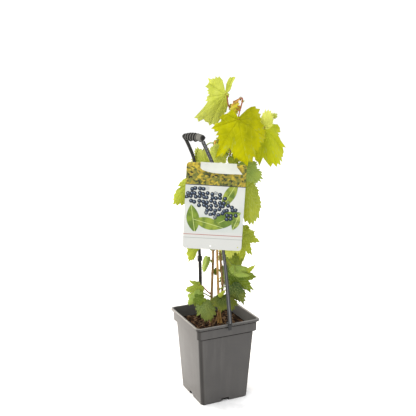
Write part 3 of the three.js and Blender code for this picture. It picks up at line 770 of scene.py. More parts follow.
@dataclass(frozen=True)
class PrintFinish(Finish):
    """The front of the card: a made-up picture of round dark fruits and pointed leaves over a pale ground.

    Places and sizes are in millimetres from the card's middle, and turns in degrees.
    """

    LEAVES = (
        ((34, 30), (36, 13), 62, "9DAA3E"),
        ((-48, -30), (34, 15), 100, "7E962C"),
        ((26, -30), (42, 17), 28, "6E8A2A"),
        ((-12, -40), (36, 14), -14, "93A436"),
        ((52, -34), (20, 9), 70, "A9B552"),
    )
    HEAPS = (((-36, 24), (32, 26), 10), ((4, 4), (36, 30), -32), ((34, -10), (24, 22), 0))
    RULES = ((-67.0, 1.1, "B08078"), (-75.0, 0.7, "9FA29E"))
    FOOT_TOP = -60.0
    BOWER_FOOT = 50.0
    BOWER = ((0.4, "24241A"), (0.5, "4E5424"), (0.62, "7C7E32"), (0.74, "A8922E"), (0.88, "CDB638"))

    def dress(self, net: Net, shader: bpy.types.Node, effects: Effects) -> None:
        """Draws the picture on the card's own plane.

        Args:
            net: The material's net.
            shader: Its shader.
            effects: The shared node groups; not used.
        """
        place = net.add("ShaderNodeTexCoord").outputs["Object"]
        centre, *axes = Card().axes()
        sums = [net.add("ShaderNodeVectorMath", {0: place, 1: axis}, operation="DOT_PRODUCT") for axis in axes]
        x, y, z = [net.math("SUBTRACT", one.outputs["Value"], centre.dot(axis) * MM) for one, axis in zip(sums, axes)]
        flat = net.add("ShaderNodeCombineXYZ", {0: x, 1: y}).outputs[0]
        ground = self.tone("D6D8D2")
        colour = net.mix(net.smooth_step(net.noise(flat, 12.0), 0.35, 0.65), ground, self.tone("C6CBC6"))
        colour = self.sprays(net, flat, x, y, colour)
        colour = self.fruit(net, flat, colour)
        colour = self.foot(net, y, colour)
        colour = self.bower(net, flat, y, colour)
        front = net.math("GREATER_THAN", z, 0.0)
        net.feed(net.mix(front, ground, colour), shader.inputs["Base Color"])

    def tone(self, text: str) -> Colour:
        """Gives an ink's colour."""
        return hue(text, self.share)

    def oval(
        self, net: Net, x: Socket, y: Socket, middle: tuple[float, float], half: tuple[float, float], turn: float
    ) -> Socket:
        """Draws a pointed oval.

        Args:
            net: The material's net.
            x: The place across the card, in metres.
            y: The place up the card.
            middle: The oval's middle.
            half: Its half length and half width.
            turn: How far it is turned.

        Returns:
            Its mask.
        """
        c, s = math.cos(math.radians(turn)), math.sin(math.radians(turn))
        dx = net.math("SUBTRACT", x, middle[0] * MM)
        dy = net.math("SUBTRACT", y, middle[1] * MM)
        long, wide = half[0] * MM, half[1] * MM
        a = net.math("ADD", net.math("MULTIPLY", dx, c / long), net.math("MULTIPLY", dy, s / long))
        b = net.math("ADD", net.math("MULTIPLY", dx, -s / wide), net.math("MULTIPLY", dy, c / wide))
        far = net.math("ADD", net.math("MULTIPLY", a, a), net.math("ABSOLUTE", b))
        return net.smooth_step(far, 1.04, 0.96)

    def sprays(self, net: Net, flat: Socket, x: Socket, y: Socket, under: Socket) -> Socket:
        """Adds pointed leaves in greens, each with a pale rib.

        Args:
            net: The material's net.
            flat: The place on the card as a vector.
            x: The place across the card, in metres.
            y: The place up the card.
            under: The colour so far.

        Returns:
            The colour with the leaves.
        """
        colour = under
        for middle, half, turn, green in self.LEAVES:
            leaf = self.oval(net, x, y, middle, half, turn)
            c, s = math.cos(math.radians(turn)), math.sin(math.radians(turn))
            aside = net.math("SUBTRACT", net.math("MULTIPLY", y, c), net.math("MULTIPLY", x, s))
            rib = net.math("ABSOLUTE", net.math("SUBTRACT", aside, (middle[1] * c - middle[0] * s) * MM))
            tone = net.mix(net.smooth_step(net.noise(flat, 55.0), 0.35, 0.65), self.tone(green), self.tone("5A7424"))
            tone = net.mix(net.smooth_step(rib, 0.0009, 0.0003), tone, self.tone("C2CE7C"))
            colour = net.mix(leaf, colour, tone)
        return colour

    def fruit(self, net: Net, flat: Socket, under: Socket) -> Socket:
        """Adds loose heaps of round dark fruit, with a shine on each.

        Args:
            net: The material's net.
            flat: The place on the card as a vector.
            under: The colour so far.

        Returns:
            The colour with the fruit.
        """
        inputs = {"Vector": flat, "Scale": 105.0, "Randomness": 0.5}
        cells = net.add("ShaderNodeTexVoronoi", inputs, voronoi_dimensions="2D")
        spot = cells.outputs["Position"]
        spots = net.add("ShaderNodeSeparateXYZ", {0: spot}).outputs
        heaps = 0.0
        for middle, half, turn in self.HEAPS:
            heaps = net.math("MAXIMUM", self.oval(net, spots[0], spots[1], middle, half, turn), heaps)
        shine = net.add("ShaderNodeVectorMath", {0: spot, 1: (-0.0011, 0.0013, 0.0)}, operation="ADD").outputs[0]
        ways = [net.add("ShaderNodeVectorMath", {0: flat, 1: p}, operation="DISTANCE") for p in (spot, shine)]
        off, glint = [way.outputs["Value"] for way in ways]
        ball = net.mix(net.smooth_step(off, 0.0042, 0.0014), self.tone("10141C"), self.tone("303E54"))
        ball = net.mix(net.smooth_step(glint, 0.0016, 0.0003), ball, self.tone("A8BCCC"))
        disc = net.math("MULTIPLY", net.smooth_step(off, 0.0052, 0.0047), heaps)
        return net.mix(disc, under, ball)

    def foot(self, net: Net, y: Socket, under: Socket) -> Socket:
        """Adds the pale foot band with two plain rules.

        Args:
            net: The material's net.
            y: The place up the card, in metres.
            under: The colour so far.

        Returns:
            The colour with the band.
        """
        band = net.smooth_step(y, (self.FOOT_TOP + 1) * MM, (self.FOOT_TOP - 1) * MM)
        colour = net.mix(band, under, self.tone("CFD0CC"))
        for height, thick, ink in self.RULES:
            off = net.math("ABSOLUTE", net.math("SUBTRACT", y, height * MM))
            colour = net.mix(net.smooth_step(off, thick * MM, thick * 0.6 * MM), colour, self.tone(ink))
        return colour

    def bower(self, net: Net, flat: Socket, y: Socket, under: Socket) -> Socket:
        """Adds the band of dappled foliage at the top, with a dark line below it.

        Args:
            net: The material's net.
            flat: The place on the card as a vector.
            y: The place up the card, in metres.
            under: The colour so far.

        Returns:
            The colour with the band.
        """
        inputs = {"Vector": flat, "Scale": 230.0, "Randomness": 1.0}
        cells = net.add("ShaderNodeTexVoronoi", inputs, voronoi_dimensions="2D")
        fleck = net.add("ShaderNodeSeparateColor", {0: cells.outputs["Color"]}).outputs[0]
        broad = net.noise(flat, 30.0, 4.0)
        dapple = net.math("MULTIPLY_ADD", fleck, 0.42, net.math("MULTIPLY", broad, 0.9))
        band = net.ramp(dapple, [(place, self.tone(ink)) for place, ink in self.BOWER])
        foot = self.BOWER_FOOT * MM
        colour = net.mix(net.smooth_step(y, foot, foot + 1.5 * MM), under, band)
        off = net.math("ABSOLUTE", net.math("SUBTRACT", y, foot))
        return net.mix(net.smooth_step(off, 1.2 * MM, 0.7 * MM), colour, self.tone("332C22"))


class Tint(Enum):
    """The leaf colours, as they look in the light: from the young tips down to the shaded foot."""

    BRIGHT = "B8B804"
    YOUNG = "C8D224"
    PALE = "D0D850"
    CREAM = "ECF068"
    GOLD = "F0DC3C"
    # a pale yellow-green given to leaves that sit in shade behind the card and the front leaf, so that they look
    # lighter: painted light
    GLOW = "D2DC58"
    LIGHT = "AEBA3E"
    MIDDLE = "98A83E"
    LEAFY = "667E2A"
    COOL = "98B054"
    FOOT = "728448"
    DEEP = "465428"
    SHADE = "506236"
    COPPER = "E4B45C"

    @property
    def sunny(self) -> bool:
        """Tells whether it is a colour of the sunlit top, where the veins hardly show."""
        return self in (Tint.BRIGHT, Tint.YOUNG) or self.milky

    @property
    def milky(self) -> bool:
        """Tells whether it is one of the palest, whose rim pales and doesn't turn yellow."""
        return self in (Tint.PALE, Tint.CREAM, Tint.GOLD, Tint.GLOW)


LEAF_SHARE = 0.7
LEAF_SIDES = ("top", "under", "rib")
UNDERSIDE, RIDGE = "C4CE94", "D8DC78"
MILKY_SUN = "E6EA84"


def leaf_materials(effects: Effects) -> list[bpy.types.Material]:
    """Makes the palette of the leaves: top, underside and main veins of each tint.

    Args:
        effects: The shared node groups.

    Returns:
        Three materials for each tint, in the order of the tints.
    """
    made = []
    for tint in Tint:
        names = [f"leaf_{tint.name.lower()}_{side}" for side in LEAF_SIDES]
        under = mixed(tint.value, UNDERSIDE, 0.4)
        ridge = mixed(tint.value, RIDGE, 0.15 if tint.sunny else 0.4)
        share, vein = (0.55, 0.03) if tint.sunny else (0.15, 0.24)
        sun = MILKY_SUN if tint.milky else BladeFinish.sun
        finishes = (
            BladeFinish(names[0], tint.value, LEAF_SHARE, 0.5, 0.04, vein_share=vein, sun=sun, sun_share=share),
            BladeFinish(names[1], under, LEAF_SHARE, 0.75, 0.05, vein_share=0.05, sun_share=0.08),
            Finish(names[2], ridge, LEAF_SHARE, 0.6, 0.06, 0.05),
        )
        made += [finish.build(effects) for finish in finishes]
    return made


# ---- the plant ----


@dataclass(frozen=True)
class Limb:
    """A woody stem that stands in the pot."""

    name: str
    path: tuple[tuple[float, float, float], ...]
    foot: float
    tip: float
    flare: float

    FLARE_REACH = 9.0

    def line(self) -> Line:
        """Gives the centre line."""
        return spline([(x, y, z + Pot.SOIL + CLEAR) for x, y, z in self.path])

    def radius(self, length: float) -> Callable[[float], float]:
        """Gives the radius as a function of the share of the length.

        Args:
            length: The length of the centre line.

        Returns:
            The function.
        """

        def at(share: float) -> float:
            """Gives the radius at a share of the length."""
            return lerp(self.foot, self.tip, share) + self.flare * math.exp(-share * length / self.FLARE_REACH)

        return at


MAIN = Limb("main_stem", ((13, -6, 0), (9, -5, 73), (6, -3, 189), (5, -4, 257)), 3.4, 2.4, 3.2)
LEFT = Limb(
    "left_shoot",
    ((-7, 3, 0), (-6, 3, 73), (-3, 1, 189), (-5, 3, 317), (0, 6, 407), (4, 5, 457)),
    2.4, 1.5, 1.4,
)
RIGHT = Limb(
    "right_shoot",
    (
        (14, 9, 0), (21, -3, 90), (15, -2, 186), (24, -9, 297),
        (33, -15, 420), (34, -19, 507), (35, -20, 541), (51, -28, 556),
    ),
    2.8, 1.3, 2.0,
)
LIMBS = (MAIN, LEFT, RIGHT)


@dataclass(frozen=True)
class LimbPlace:
    """A point of a limb, with its radius and direction there."""

    point: Vector
    radius: float
    lead: Vector
    at_tip: bool


class Limbs:
    """The lines of the limbs, measured once."""

    NEAR = 1e-7
    AT_TIP = 0.999

    def __init__(self) -> None:
        """Measures every limb."""
        self.lines = {limb.name: limb.line() for limb in LIMBS}

    def place(self, limb: Limb, height: float) -> LimbPlace:
        """Finds the point of a limb at a height above the soil.

        Args:
            limb: The limb.
            height: The height in millimetres.

        Returns:
            The place on the limb.
        """
        line = self.lines[limb.name]
        z = Pot.SOIL + CLEAR + height
        low, high = 0.0, 1.0
        while high - low > self.NEAR:
            middle = (low + high) / 2
            if line.at(middle).z < z:
                low = middle
            else:
                high = middle
        return LimbPlace(line.at(low), limb.radius(line.length)(low), line.lead(low), low > self.AT_TIP)


class Blade:
    """The plain outline of a leaf, and how its main veins run."""

    EDGE = ((0, 1), (13, 0.82), (25, 0.65), (43, 0.88), (56, 0.73), (68, 0.57), (84, 0.64), (102, 0.5),
            (124, 0.48), (146, 0.4), (166, 0.24), (180, 0.06))
    VEINS = (0, 43, 84, 124)
    VEIN_WIDTH = (0.011, 0.009, 0.007, 0.005)
    RIPPLES = 3
    MIDDLE = 0.5
    SPREAD = 0.4

    @classmethod
    def edge(cls, angle: float) -> float:
        """Gives the distance from the stalk to the plain outline, for a midrib of length 1."""
        return from_table(cls.EDGE, min(180.0, abs(angle)))


@dataclass(frozen=True)
class Half:
    """One half of a leaf: the angles of its three side veins, and its outline."""

    veins: tuple[float, float, float] = Blade.VEINS[1:]
    edge: tuple[tuple[float, float], ...] = Blade.EDGE


PLAIN = Half()
SLIM = Half(
    (32, 66, 112), ((0, 1), (10, 0.74), (22, 0.5), (32, 0.5), (50, 0.3), (66, 0.3), (112, 0.16), (180, 0.06))
)


@dataclass
class Leaf:
    """One leaf: where its blade joins the stalk, how it hangs and how it is bent."""

    joint: Vector
    midrib: Vector
    across: Vector
    normal: Vector
    size: float
    folds: tuple[float, float]
    droop: float
    wave: float
    phase: float
    stalk: Optional[Line] = None
    tint: Tint = Tint.MIDDLE
    halves: tuple[Half, Half] = (PLAIN, PLAIN)

    FOLDS = (-30, 15)
    DROOPS = (0.08, 0.22)
    WAVES = (0.02, 0.07)
    RINGS = (0.25, 0.5, 0.75, 1.0)

    @staticmethod
    def posed(
        joint: Vector,
        pose: tuple[float, float, float],
        size: float,
        folds: Optional[tuple[float, float]],
        dice: Dice,
    ) -> "Leaf":
        """Works out a leaf's axes and draws its bends.

        Args:
            joint: Where the stalk joins the blade.
            pose: The way that the blade faces, its tilt up from there and its roll.
            size: The length of the midrib.
            folds: The bend of each half along the midrib, or None to draw them.
            dice: The mass's own stream.

        Returns:
            The leaf, without its stalk.
        """
        face, tilt, roll = pose
        out = along(face)
        normal = turned(out, UP, tilt)
        down = turned(out, UP, tilt - 90)
        midrib = turned(down, normal.cross(down), roll)
        bends = folds or (dice.between(*Leaf.FOLDS), dice.between(*Leaf.FOLDS))
        droop, wave, phase = dice.between(*Leaf.DROOPS), dice.between(*Leaf.WAVES), FULL_TURN * dice.roll()
        return Leaf(joint, midrib, normal.cross(midrib), normal, size, bends, droop, wave, phase)

    def fold(self, v: float) -> float:
        """Gives the bend, in radians, of the half that v lies in."""
        return math.radians(self.folds[0 if v < 0 else 1])

    def rise(self, u: float, v: float) -> float:
        """Gives how far the blade rises from its flat plane, in shares of the midrib."""
        r2 = u * u + v * v
        return self.wave * r2 * math.sin(Blade.RIPPLES * math.atan2(v, u) + self.phase) - self.droop * r2

    def at(self, u: float, v: float, lift: float = 0.0, soft: float = 0.0) -> Vector:
        """Gives a place in the blade.

        Args:
            u: Place along the midrib, in shares of its length.
            v: Place across it.
            lift: Height above the blade, in millimetres.
            soft: How far from the midrib the fold is rounded.

        Returns:
            The point in the frame of the part.
        """
        bend = self.fold(v)
        spread = math.hypot(v, soft) - soft
        rise = (self.rise(u, v) + spread * math.sin(bend)) * self.size + lift
        flat = self.joint + self.midrib * (u * self.size) + self.across * (v * math.cos(bend) * self.size)
        return flat + self.normal * rise

    def cloud(self) -> list[Vector]:
        """Gives points spread over the blade, for the tests for room.

        Returns:
            The points, from the middle out along each line.
        """
        half = [angle for angle, _ in Blade.EDGE]
        angles = half + [-angle for angle in half[-2:0:-1]]
        found = []
        for angle in angles:
            for share in self.RINGS:
                r = Blade.edge(angle) * share
                found.append(self.at(r * math.cos(math.radians(angle)), r * math.sin(math.radians(angle))))
        return found

    def cuts(self, cloud: Iterable[Vector], margin: float) -> bool:
        """Tells whether points touch the blade, or lie on both sides of it.

        Args:
            cloud: The points.
            margin: How near counts as touching.

        Returns:
            True where they do.
        """
        above = below = False
        for p in cloud:
            off = p - self.joint
            u = off.dot(self.midrib) / self.size
            flat = off.dot(self.across) / self.size
            v = flat / math.cos(self.fold(flat))
            if math.hypot(u, v) < Blade.edge(math.degrees(math.atan2(v, u))) + margin / self.size:
                rise = self.rise(u, v) + abs(v) * math.sin(self.fold(v))
                lift = off.dot(self.normal) - rise * self.size
                if abs(lift) < margin:
                    return True
                above = above or 0 < lift < Rule.NEAR_SIDE
                below = below or 0 > lift > -Rule.NEAR_SIDE
        return above and below

    def hang(self, start: Vector, leave: Vector) -> None:
        """Gives the leaf its stalk.

        Args:
            start: Where the stalk starts.
            leave: The direction that it starts in.
        """
        span = (self.joint - start).length
        first = start + leave * (span * Rule.LEAVE)
        second = self.joint - self.midrib * (span * Rule.ENTER) - self.normal * (span * Rule.UNDER)
        self.stalk = bezier(start, first, second, self.joint.copy())


@dataclass(frozen=True)
class Mass:
    """One side shoot: where it leaves its limb, and its lead leaf."""

    name: str
    limb: Limb
    node: float
    more: int
    joint: tuple[float, float, float]
    pose: tuple[float, float, float]
    size: float
    folds: Optional[tuple[float, float]]
    tint: Tint
    ruddy: bool = False


MASSES = (
    Mass("tip_leaves", RIGHT, 536, 0, (43, 27, 568), (-40, 4, -54), 98, (0, -45), Tint.PALE, True),
    Mass("front_leaves", RIGHT, 556, 0, (29, 67, 512), (-25, 15, 11), 110, (-8, -38), Tint.BRIGHT, True),
    Mass("right_top_leaves", RIGHT, 470, 0, (82, 124, 485), (-10, 12, 20), 101, (-40, -36), Tint.YOUNG, True),
    Mass("right_tip_leaves", RIGHT, 505, 0, (73, 121, 488), (-40, -14, 169), 43, (-10, -15), Tint.CREAM, True),
    Mass("handle_side_leaves", LEFT, 385, 0, (-179, 47, 401), (-15, 8, -144), 43, (-10, -15), Tint.GLOW),
    Mass("upper_front_leaves", LEFT, 440, 0, (22, 18, 437), (-30, 15, -19), 42, (-10, -35), Tint.GLOW),
    Mass("upper_right_leaves", RIGHT, 385, 0, (48, 71, 392), (-15, 12, 82), 48, (-15, -20), Tint.COOL),
    Mass("right_leaves", RIGHT, 335, 0, (61, 75, 345), (-20, 10, 6), 90, (-32, -44), Tint.LIGHT),
    Mass("upper_left_leaves", LEFT, 335, 0, (-103, 57, 359), (-35, 12, -40), 70, (-22, -25), Tint.LIGHT),
    Mass("mid_right_leaves", RIGHT, 205, 0, (60, 65, 227), (-15, 14, 29), 57, (-10, -10), Tint.LIGHT),
    Mass("mid_front_leaves", MAIN, 210, 0, (33, 46, 221), (-25, 18, -6), 46, (-20, -20), Tint.PALE),
    Mass("shade_leaves", RIGHT, 165, 0, (75, 54, 174), (-20, 15, -20), 38, (-20, -20), Tint.MIDDLE),
    Mass("curled_leaves", RIGHT, 182, 0, (30, 60, 160), (-25, 62, 80), 40, (-25, -35), Tint.COOL),
    Mass("low_right_leaves", RIGHT, 120, 0, (41, 47, 136), (-15, 6, 42), 72, (-35, -10), Tint.LEAFY),
    Mass("dark_right_leaves", MAIN, 90, 0, (27, 56, 106), (-10, 10, 31), 58, (-50, 0), Tint.SHADE),
    Mass("low_front_leaves", MAIN, 62, 0, (5, 39, 80), (-25, 54, 5), 38, (0, 0), Tint.DEEP),
    Mass("foot_leaves", LEFT, 45, 0, (-60, 40, 66), (-30, 25, 9), 47, (-15, -15), Tint.FOOT),
    Mass("low_left_leaves", LEFT, 78, 0, (-100, 39, 103), (-35, 18, -68), 39, (0, -10), Tint.MIDDLE, True),
    Mass("low_left_tip_leaves", LEFT, 70, 0, (-85, 42, 86), (-20, 22, -35), 22, (-15, -15), Tint.COOL),
    Mass("hanging_leaves", LEFT, 160, 0, (-81, 20, 173), (-30, 10, -13), 39, (-50, -50), Tint.COOL),
    Mass("small_leaves", LEFT, 130, 0, (150, 6, 137), (-25, 20, 12), 15, (-20, -20), Tint.LEAFY),
    Mass("mid_left_leaves", LEFT, 190, 0, (-104, 43, 200), (-35, 14, -29), 46, (-15, -15), Tint.LIGHT),
    Mass("inner_low_leaves", LEFT, 235, 1, (-52, 28, 258), (-35, 16, -8), 42, None, Tint.MIDDLE),
    Mass("inner_leaves", LEFT, 290, 1, (-50, 28, 317), (-30, 16, 10), 50, None, Tint.LEAFY),
    Mass("inner_right_leaves", RIGHT, 265, 1, (54, 34, 272), (-5, 16, 10), 38, None, Tint.LEAFY),
    Mass("back_low_leaves", RIGHT, 104, 1, (107, 60, 118), (122, 24, 0), 70, None, Tint.LEAFY),
    Mass("back_mid_leaves", RIGHT, 178, 1, (118, 60, 180), (118, 18, 0), 60, None, Tint.MIDDLE),
    Mass("back_right_leaves", RIGHT, 235, 1, (108, 60, 250), (108, 20, 4), 74, None, Tint.LEAFY),
    Mass("back_leaves", LEFT, 262, 1, (176, 44, 262), (172, 12, -4), 54, None, Tint.FOOT),
    Mass("back_left_leaves", LEFT, 265, 1, (-128, 48, 290), (-120, 18, 0), 68, None, Tint.LEAFY),
    Mass("back_upper_leaves", LEFT, 325, 1, (170, 34, 352), (170, 14, 0), 56, None, Tint.MIDDLE),
    Mass("back_high_leaves", RIGHT, 355, 1, (130, 56, 375), (130, 20, 0), 78, None, Tint.LIGHT),
    # a young leaf near the top, whose brighter young tint also lifts it out of its shade: partly painted light
    Mass("back_top_left_leaves", LEFT, 448, 0, (-176, 66, 420), (180, 8, 0), 38, None, Tint.YOUNG),
    Mass("back_top_leaves", RIGHT, 455, 1, (112, 72, 466), (118, 18, 30), 62, None, Tint.YOUNG),
)

HALVES = {
    "tip_leaves": (
        Half((27, 66, 148), ((0, 1), (4, 0.72), (8, 0.52), (27, 0.49), (32, 0.41), (52, 0.45), (58, 0.55),
                             (66, 0.51), (77, 0.56), (83, 0.47), (94, 0.46), (104, 0.44), (109, 0.38), (114, 0.27),
                             (119, 0.09), (126, 0.08), (131, 0.3), (136, 0.38), (148, 0.44), (155, 0.48),
                             (160, 0.29), (180, 0.08))),
        Half((29, 48, 80), ((0, 1), (10, 0.92), (19, 0.87), (29, 0.97), (42, 0.85), (47, 0.71), (55, 0.52),
                            (67, 0.31), (79, 0.14), (180, 0.05))),
    ),
    "front_leaves": (
        Half((43, 84, 126), ((0, 1), (5, 0.91), (8, 0.85), (14, 0.81), (19, 0.8), (23, 0.71), (28, 0.57),
                             (31, 0.69), (36, 0.82), (43, 0.94), (46, 0.77), (50, 0.62), (59, 0.57), (74, 0.51),
                             (85, 0.61), (90, 0.53), (99, 0.35), (110, 0.39), (132, 0.27), (160, 0.24), (170, 0.12),
                             (180, 0.05))),
        Half((58, 88, 116), ((0, 1), (4, 0.93), (14, 0.87), (26, 0.75), (36, 0.79), (41, 0.71), (59, 0.82),
                             (70, 0.71), (85, 0.62), (88, 0.65), (98, 0.65), (107, 0.67), (118, 0.61), (123, 0.46),
                             (128, 0.2), (140, 0.08), (180, 0.05))),
    ),
    "right_top_leaves": (
        Half((29, 84, 124), ((0, 1), (5, 0.93), (15, 0.92), (19, 0.74), (22, 0.68), (25, 0.84), (28, 0.96),
                             (34, 0.86), (42, 0.7), (56, 0.6), (84, 0.64), (102, 0.5), (124, 0.45), (146, 0.34),
                             (166, 0.2), (180, 0.06))),
        Half((34, 76, 110), ((0, 1), (10, 0.96), (20, 0.96), (25, 0.9), (32, 0.98), (36, 0.83), (42, 0.89),
                             (47, 0.71), (51, 0.57), (62, 0.57), (72, 0.72), (82, 0.68), (87, 0.45), (94, 0.35),
                             (112, 0.24), (180, 0.05))),
    ),
    "right_tip_leaves": (
        Half((17, 48, 90), ((0, 1), (7, 0.9), (17, 0.93), (30, 0.72), (45, 0.55), (76, 0.36), (110, 0.2),
                            (180, 0.06))),
        Half((21, 51, 90), ((0, 1), (12, 0.86), (21, 0.81), (32, 0.59), (51, 0.5), (84, 0.34), (120, 0.2),
                            (180, 0.06))),
    ),
    "upper_right_leaves": (
        Half((34, 84, 124), ((0, 1), (10, 0.98), (20, 1.05), (37, 1.01), (49, 0.8), (62, 0.6), (84, 0.66),
                             (102, 0.5), (124, 0.48), (146, 0.4), (180, 0.06))),
        Half((37, 62, 110), ((0, 1), (8, 0.82), (17, 0.69), (37, 0.89), (46, 0.7), (57, 0.82), (78, 0.55),
                             (110, 0.45), (146, 0.36), (180, 0.06))),
    ),
    "right_leaves": (
        PLAIN,
        Half((38, 70, 115), ((0, 1), (11, 0.99), (24, 0.97), (38, 0.86), (53, 0.77), (66, 0.61), (81, 0.52),
                             (99, 0.42), (132, 0.32), (166, 0.2), (180, 0.06))),
    ),
    "upper_left_leaves": (
        Half((24, 47, 100), ((0, 1), (6, 0.86), (12, 0.82), (18, 0.72), (24, 0.66), (28, 0.58), (32, 0.34),
                             (36, 0.53), (47, 0.49), (62, 0.39), (82, 0.31), (124, 0.24), (180, 0.06))),
        Half((36, 84, 124), ((0, 1), (10, 0.89), (21, 0.82), (40, 0.8), (60, 0.6), (84, 0.6), (124, 0.45),
                             (180, 0.06))),
    ),
    "mid_right_leaves": (
        Half((24, 76, 124), ((0, 1), (8, 0.83), (13, 0.7), (19, 0.95), (24, 1.1), (32, 0.98), (44, 0.8), (60, 0.6),
                             (84, 0.64), (102, 0.5), (124, 0.48), (146, 0.4), (180, 0.06))),
        Half((42, 75, 110), ((0, 1), (6, 0.8), (12, 0.62), (23, 0.52), (36, 0.74), (43, 0.98), (50, 0.74),
                             (64, 0.6), (75, 0.72), (84, 0.56), (94, 0.5), (108, 0.6), (131, 0.49), (150, 0.3),
                             (180, 0.06))),
    ),
    "low_right_leaves": (
        Half((23, 60, 105), ((0, 1), (3, 0.85), (8, 0.69), (23, 0.68), (42, 0.53), (62, 0.45), (105, 0.26),
                             (180, 0.06))),
        Half((35, 60, 110), ((0, 1), (9, 0.94), (14, 0.84), (20, 0.68), (29, 0.78), (35, 0.96), (43, 0.73),
                             (51, 0.52), (62, 0.46), (84, 0.36), (120, 0.3), (180, 0.06))),
    ),
    "dark_right_leaves": (
        Half((38, 66, 104), ((0, 1), (6, 0.75), (20, 0.65), (41, 0.6), (66, 0.44), (84, 0.4), (109, 0.28),
                             (180, 0.06))),
        Half((29, 60, 100), ((0, 1), (7, 0.82), (14, 0.74), (29, 0.7), (43, 0.48), (73, 0.36), (100, 0.3),
                             (180, 0.06))),
    ),
    "low_front_leaves": (
        Half((44, 75, 112), ((0, 0.95), (20, 0.9), (34, 0.76), (47, 0.84), (60, 0.74), (75, 0.85), (91, 0.68),
                             (112, 0.45), (140, 0.3), (180, 0.06))),
        Half((29, 65, 98), ((0, 0.95), (12, 0.86), (22, 1.0), (29, 1.14), (46, 0.98), (65, 1.12), (77, 0.85),
                            (98, 0.5), (140, 0.3), (180, 0.06))),
    ),
    "foot_leaves": (
        Half((43, 69, 100), ((0, 1), (6, 0.92), (10, 0.97), (16, 0.82), (22, 0.87), (28, 0.66), (33, 0.6),
                             (38, 0.78), (43, 0.87), (50, 0.68), (58, 0.6), (66, 0.68), (74, 0.54), (95, 0.45),
                             (140, 0.25), (180, 0.06))),
        Half((22, 41, 90), ((0, 1), (5, 0.89), (10, 0.95), (15, 0.83), (20, 0.99), (26, 0.82), (31, 0.76),
                            (37, 0.88), (46, 0.66), (56, 0.64), (64, 0.46), (90, 0.36), (140, 0.22), (180, 0.06))),
    ),
    "low_left_leaves": (
        Half((45, 62, 90), ((0, 1), (5, 0.88), (11, 0.76), (17, 0.36), (26, 0.42), (36, 0.62), (45, 0.82),
                            (51, 0.42), (60, 0.46), (72, 0.28), (180, 0.06))),
        Half((12, 54, 110), ((0, 1), (10, 0.93), (24, 0.72), (40, 0.84), (53, 0.96), (66, 0.7), (80, 0.9),
                             (90, 0.5), (109, 0.49), (140, 0.25), (180, 0.06))),
    ),
    "hanging_leaves": (
        Half((25, 52, 90), ((0, 1), (12, 0.92), (25, 0.87), (36, 0.62), (48, 0.57), (82, 0.36), (124, 0.2),
                            (180, 0.06))),
        Half((29, 54, 100), ((0, 1), (9, 0.86), (20, 0.6), (29, 0.55), (54, 0.34), (109, 0.22), (180, 0.06))),
    ),
    "mid_left_leaves": (
        Half((30, 84, 124), ((0, 1), (4, 0.88), (8, 0.78), (12, 0.85), (17, 0.75), (22, 0.7), (27, 0.8), (31, 0.74),
                             (38, 0.58), (48, 0.62), (84, 0.6), (124, 0.48), (180, 0.06))),
        Half((13, 40, 100), ((0, 1), (3, 0.84), (8, 0.75), (13, 0.8), (16, 0.66), (19, 0.62), (22, 0.46), (29, 0.3),
                             (45, 0.2), (65, 0.18), (100, 0.2), (180, 0.06))),
    ),
}


@dataclass(frozen=True)
class Sprig:
    """One small leaf on a side twig: the shoot that it leaves, and how it is placed."""

    mass: str
    share: float
    joint: tuple[float, float, float]
    pose: tuple[float, float, float]
    size: float
    folds: tuple[float, float]
    tint: Tint
    halves: tuple[Half, Half] = (PLAIN, PLAIN)


SPRIGS = (
    Sprig("front_leaves", 0.0, (58, 44, 549), (-25, 10, 96), 15, (-15, -15), Tint.COPPER, (SLIM, SLIM)),
    Sprig("front_leaves", 0.02, (61, 59, 556), (-25, 20, 160), 8, (-50, -45), Tint.LEAFY),
    Sprig("front_leaves", 0.08, (64, 64, 550), (-25, 10, 120), 7, (-50, -45), Tint.PALE),
    Sprig("front_leaves", 0.5, (54, 54, 541), (-25, 20, -62), 22, (-35, -40), Tint.GOLD),
    Sprig("front_leaves", 0.6, (53, 51, 534), (-25, 25, -25), 15, (-40, -40), Tint.GOLD),
    Sprig("curled_leaves", 0.8, (33, 94, 151), (-25, 15, 130), 25, (-30, -30), Tint.LIGHT, (SLIM, SLIM)),
    Sprig("curled_leaves", 0.9, (15, 81, 150), (-25, 58, 84), 34, (-25, -25), Tint.COOL, (SLIM, SLIM)),
    Sprig("low_front_leaves", 0.6, (-9, 44, 85), (-25, 15, 137), 25, (-35, -35), Tint.LIGHT, (SLIM, SLIM)),
    Sprig("low_left_leaves", 0.7, (-94, 45, 75), (-30, 12, -50), 33, (-25, -25), Tint.COOL),
    Sprig("foot_leaves", 0.6, (-79, 53, 77), (-30, 25, 76), 26, (-20, -30), Tint.LEAFY),
    Sprig("right_tip_leaves", 0.9, (74, 143, 513), (-20, 5, 129), 12, (-20, -20), Tint.GLOW),
    Sprig("upper_front_leaves", 0.5, (53, 43, 418), (-20, 10, 38), 26, (-25, -25), Tint.LIGHT),
    Sprig("upper_front_leaves", 0.4, (-12, 24, 435), (-25, 5, -147), 16, (-25, -25), Tint.GLOW),
)


@dataclass
class Grown:
    """A mass with its leaves and its own stream."""

    mass: Mass
    dice: Dice
    leaves: list[Leaf] = field(default_factory=list)


Known = tuple[Leaf, list[Vector], list[Vector]]


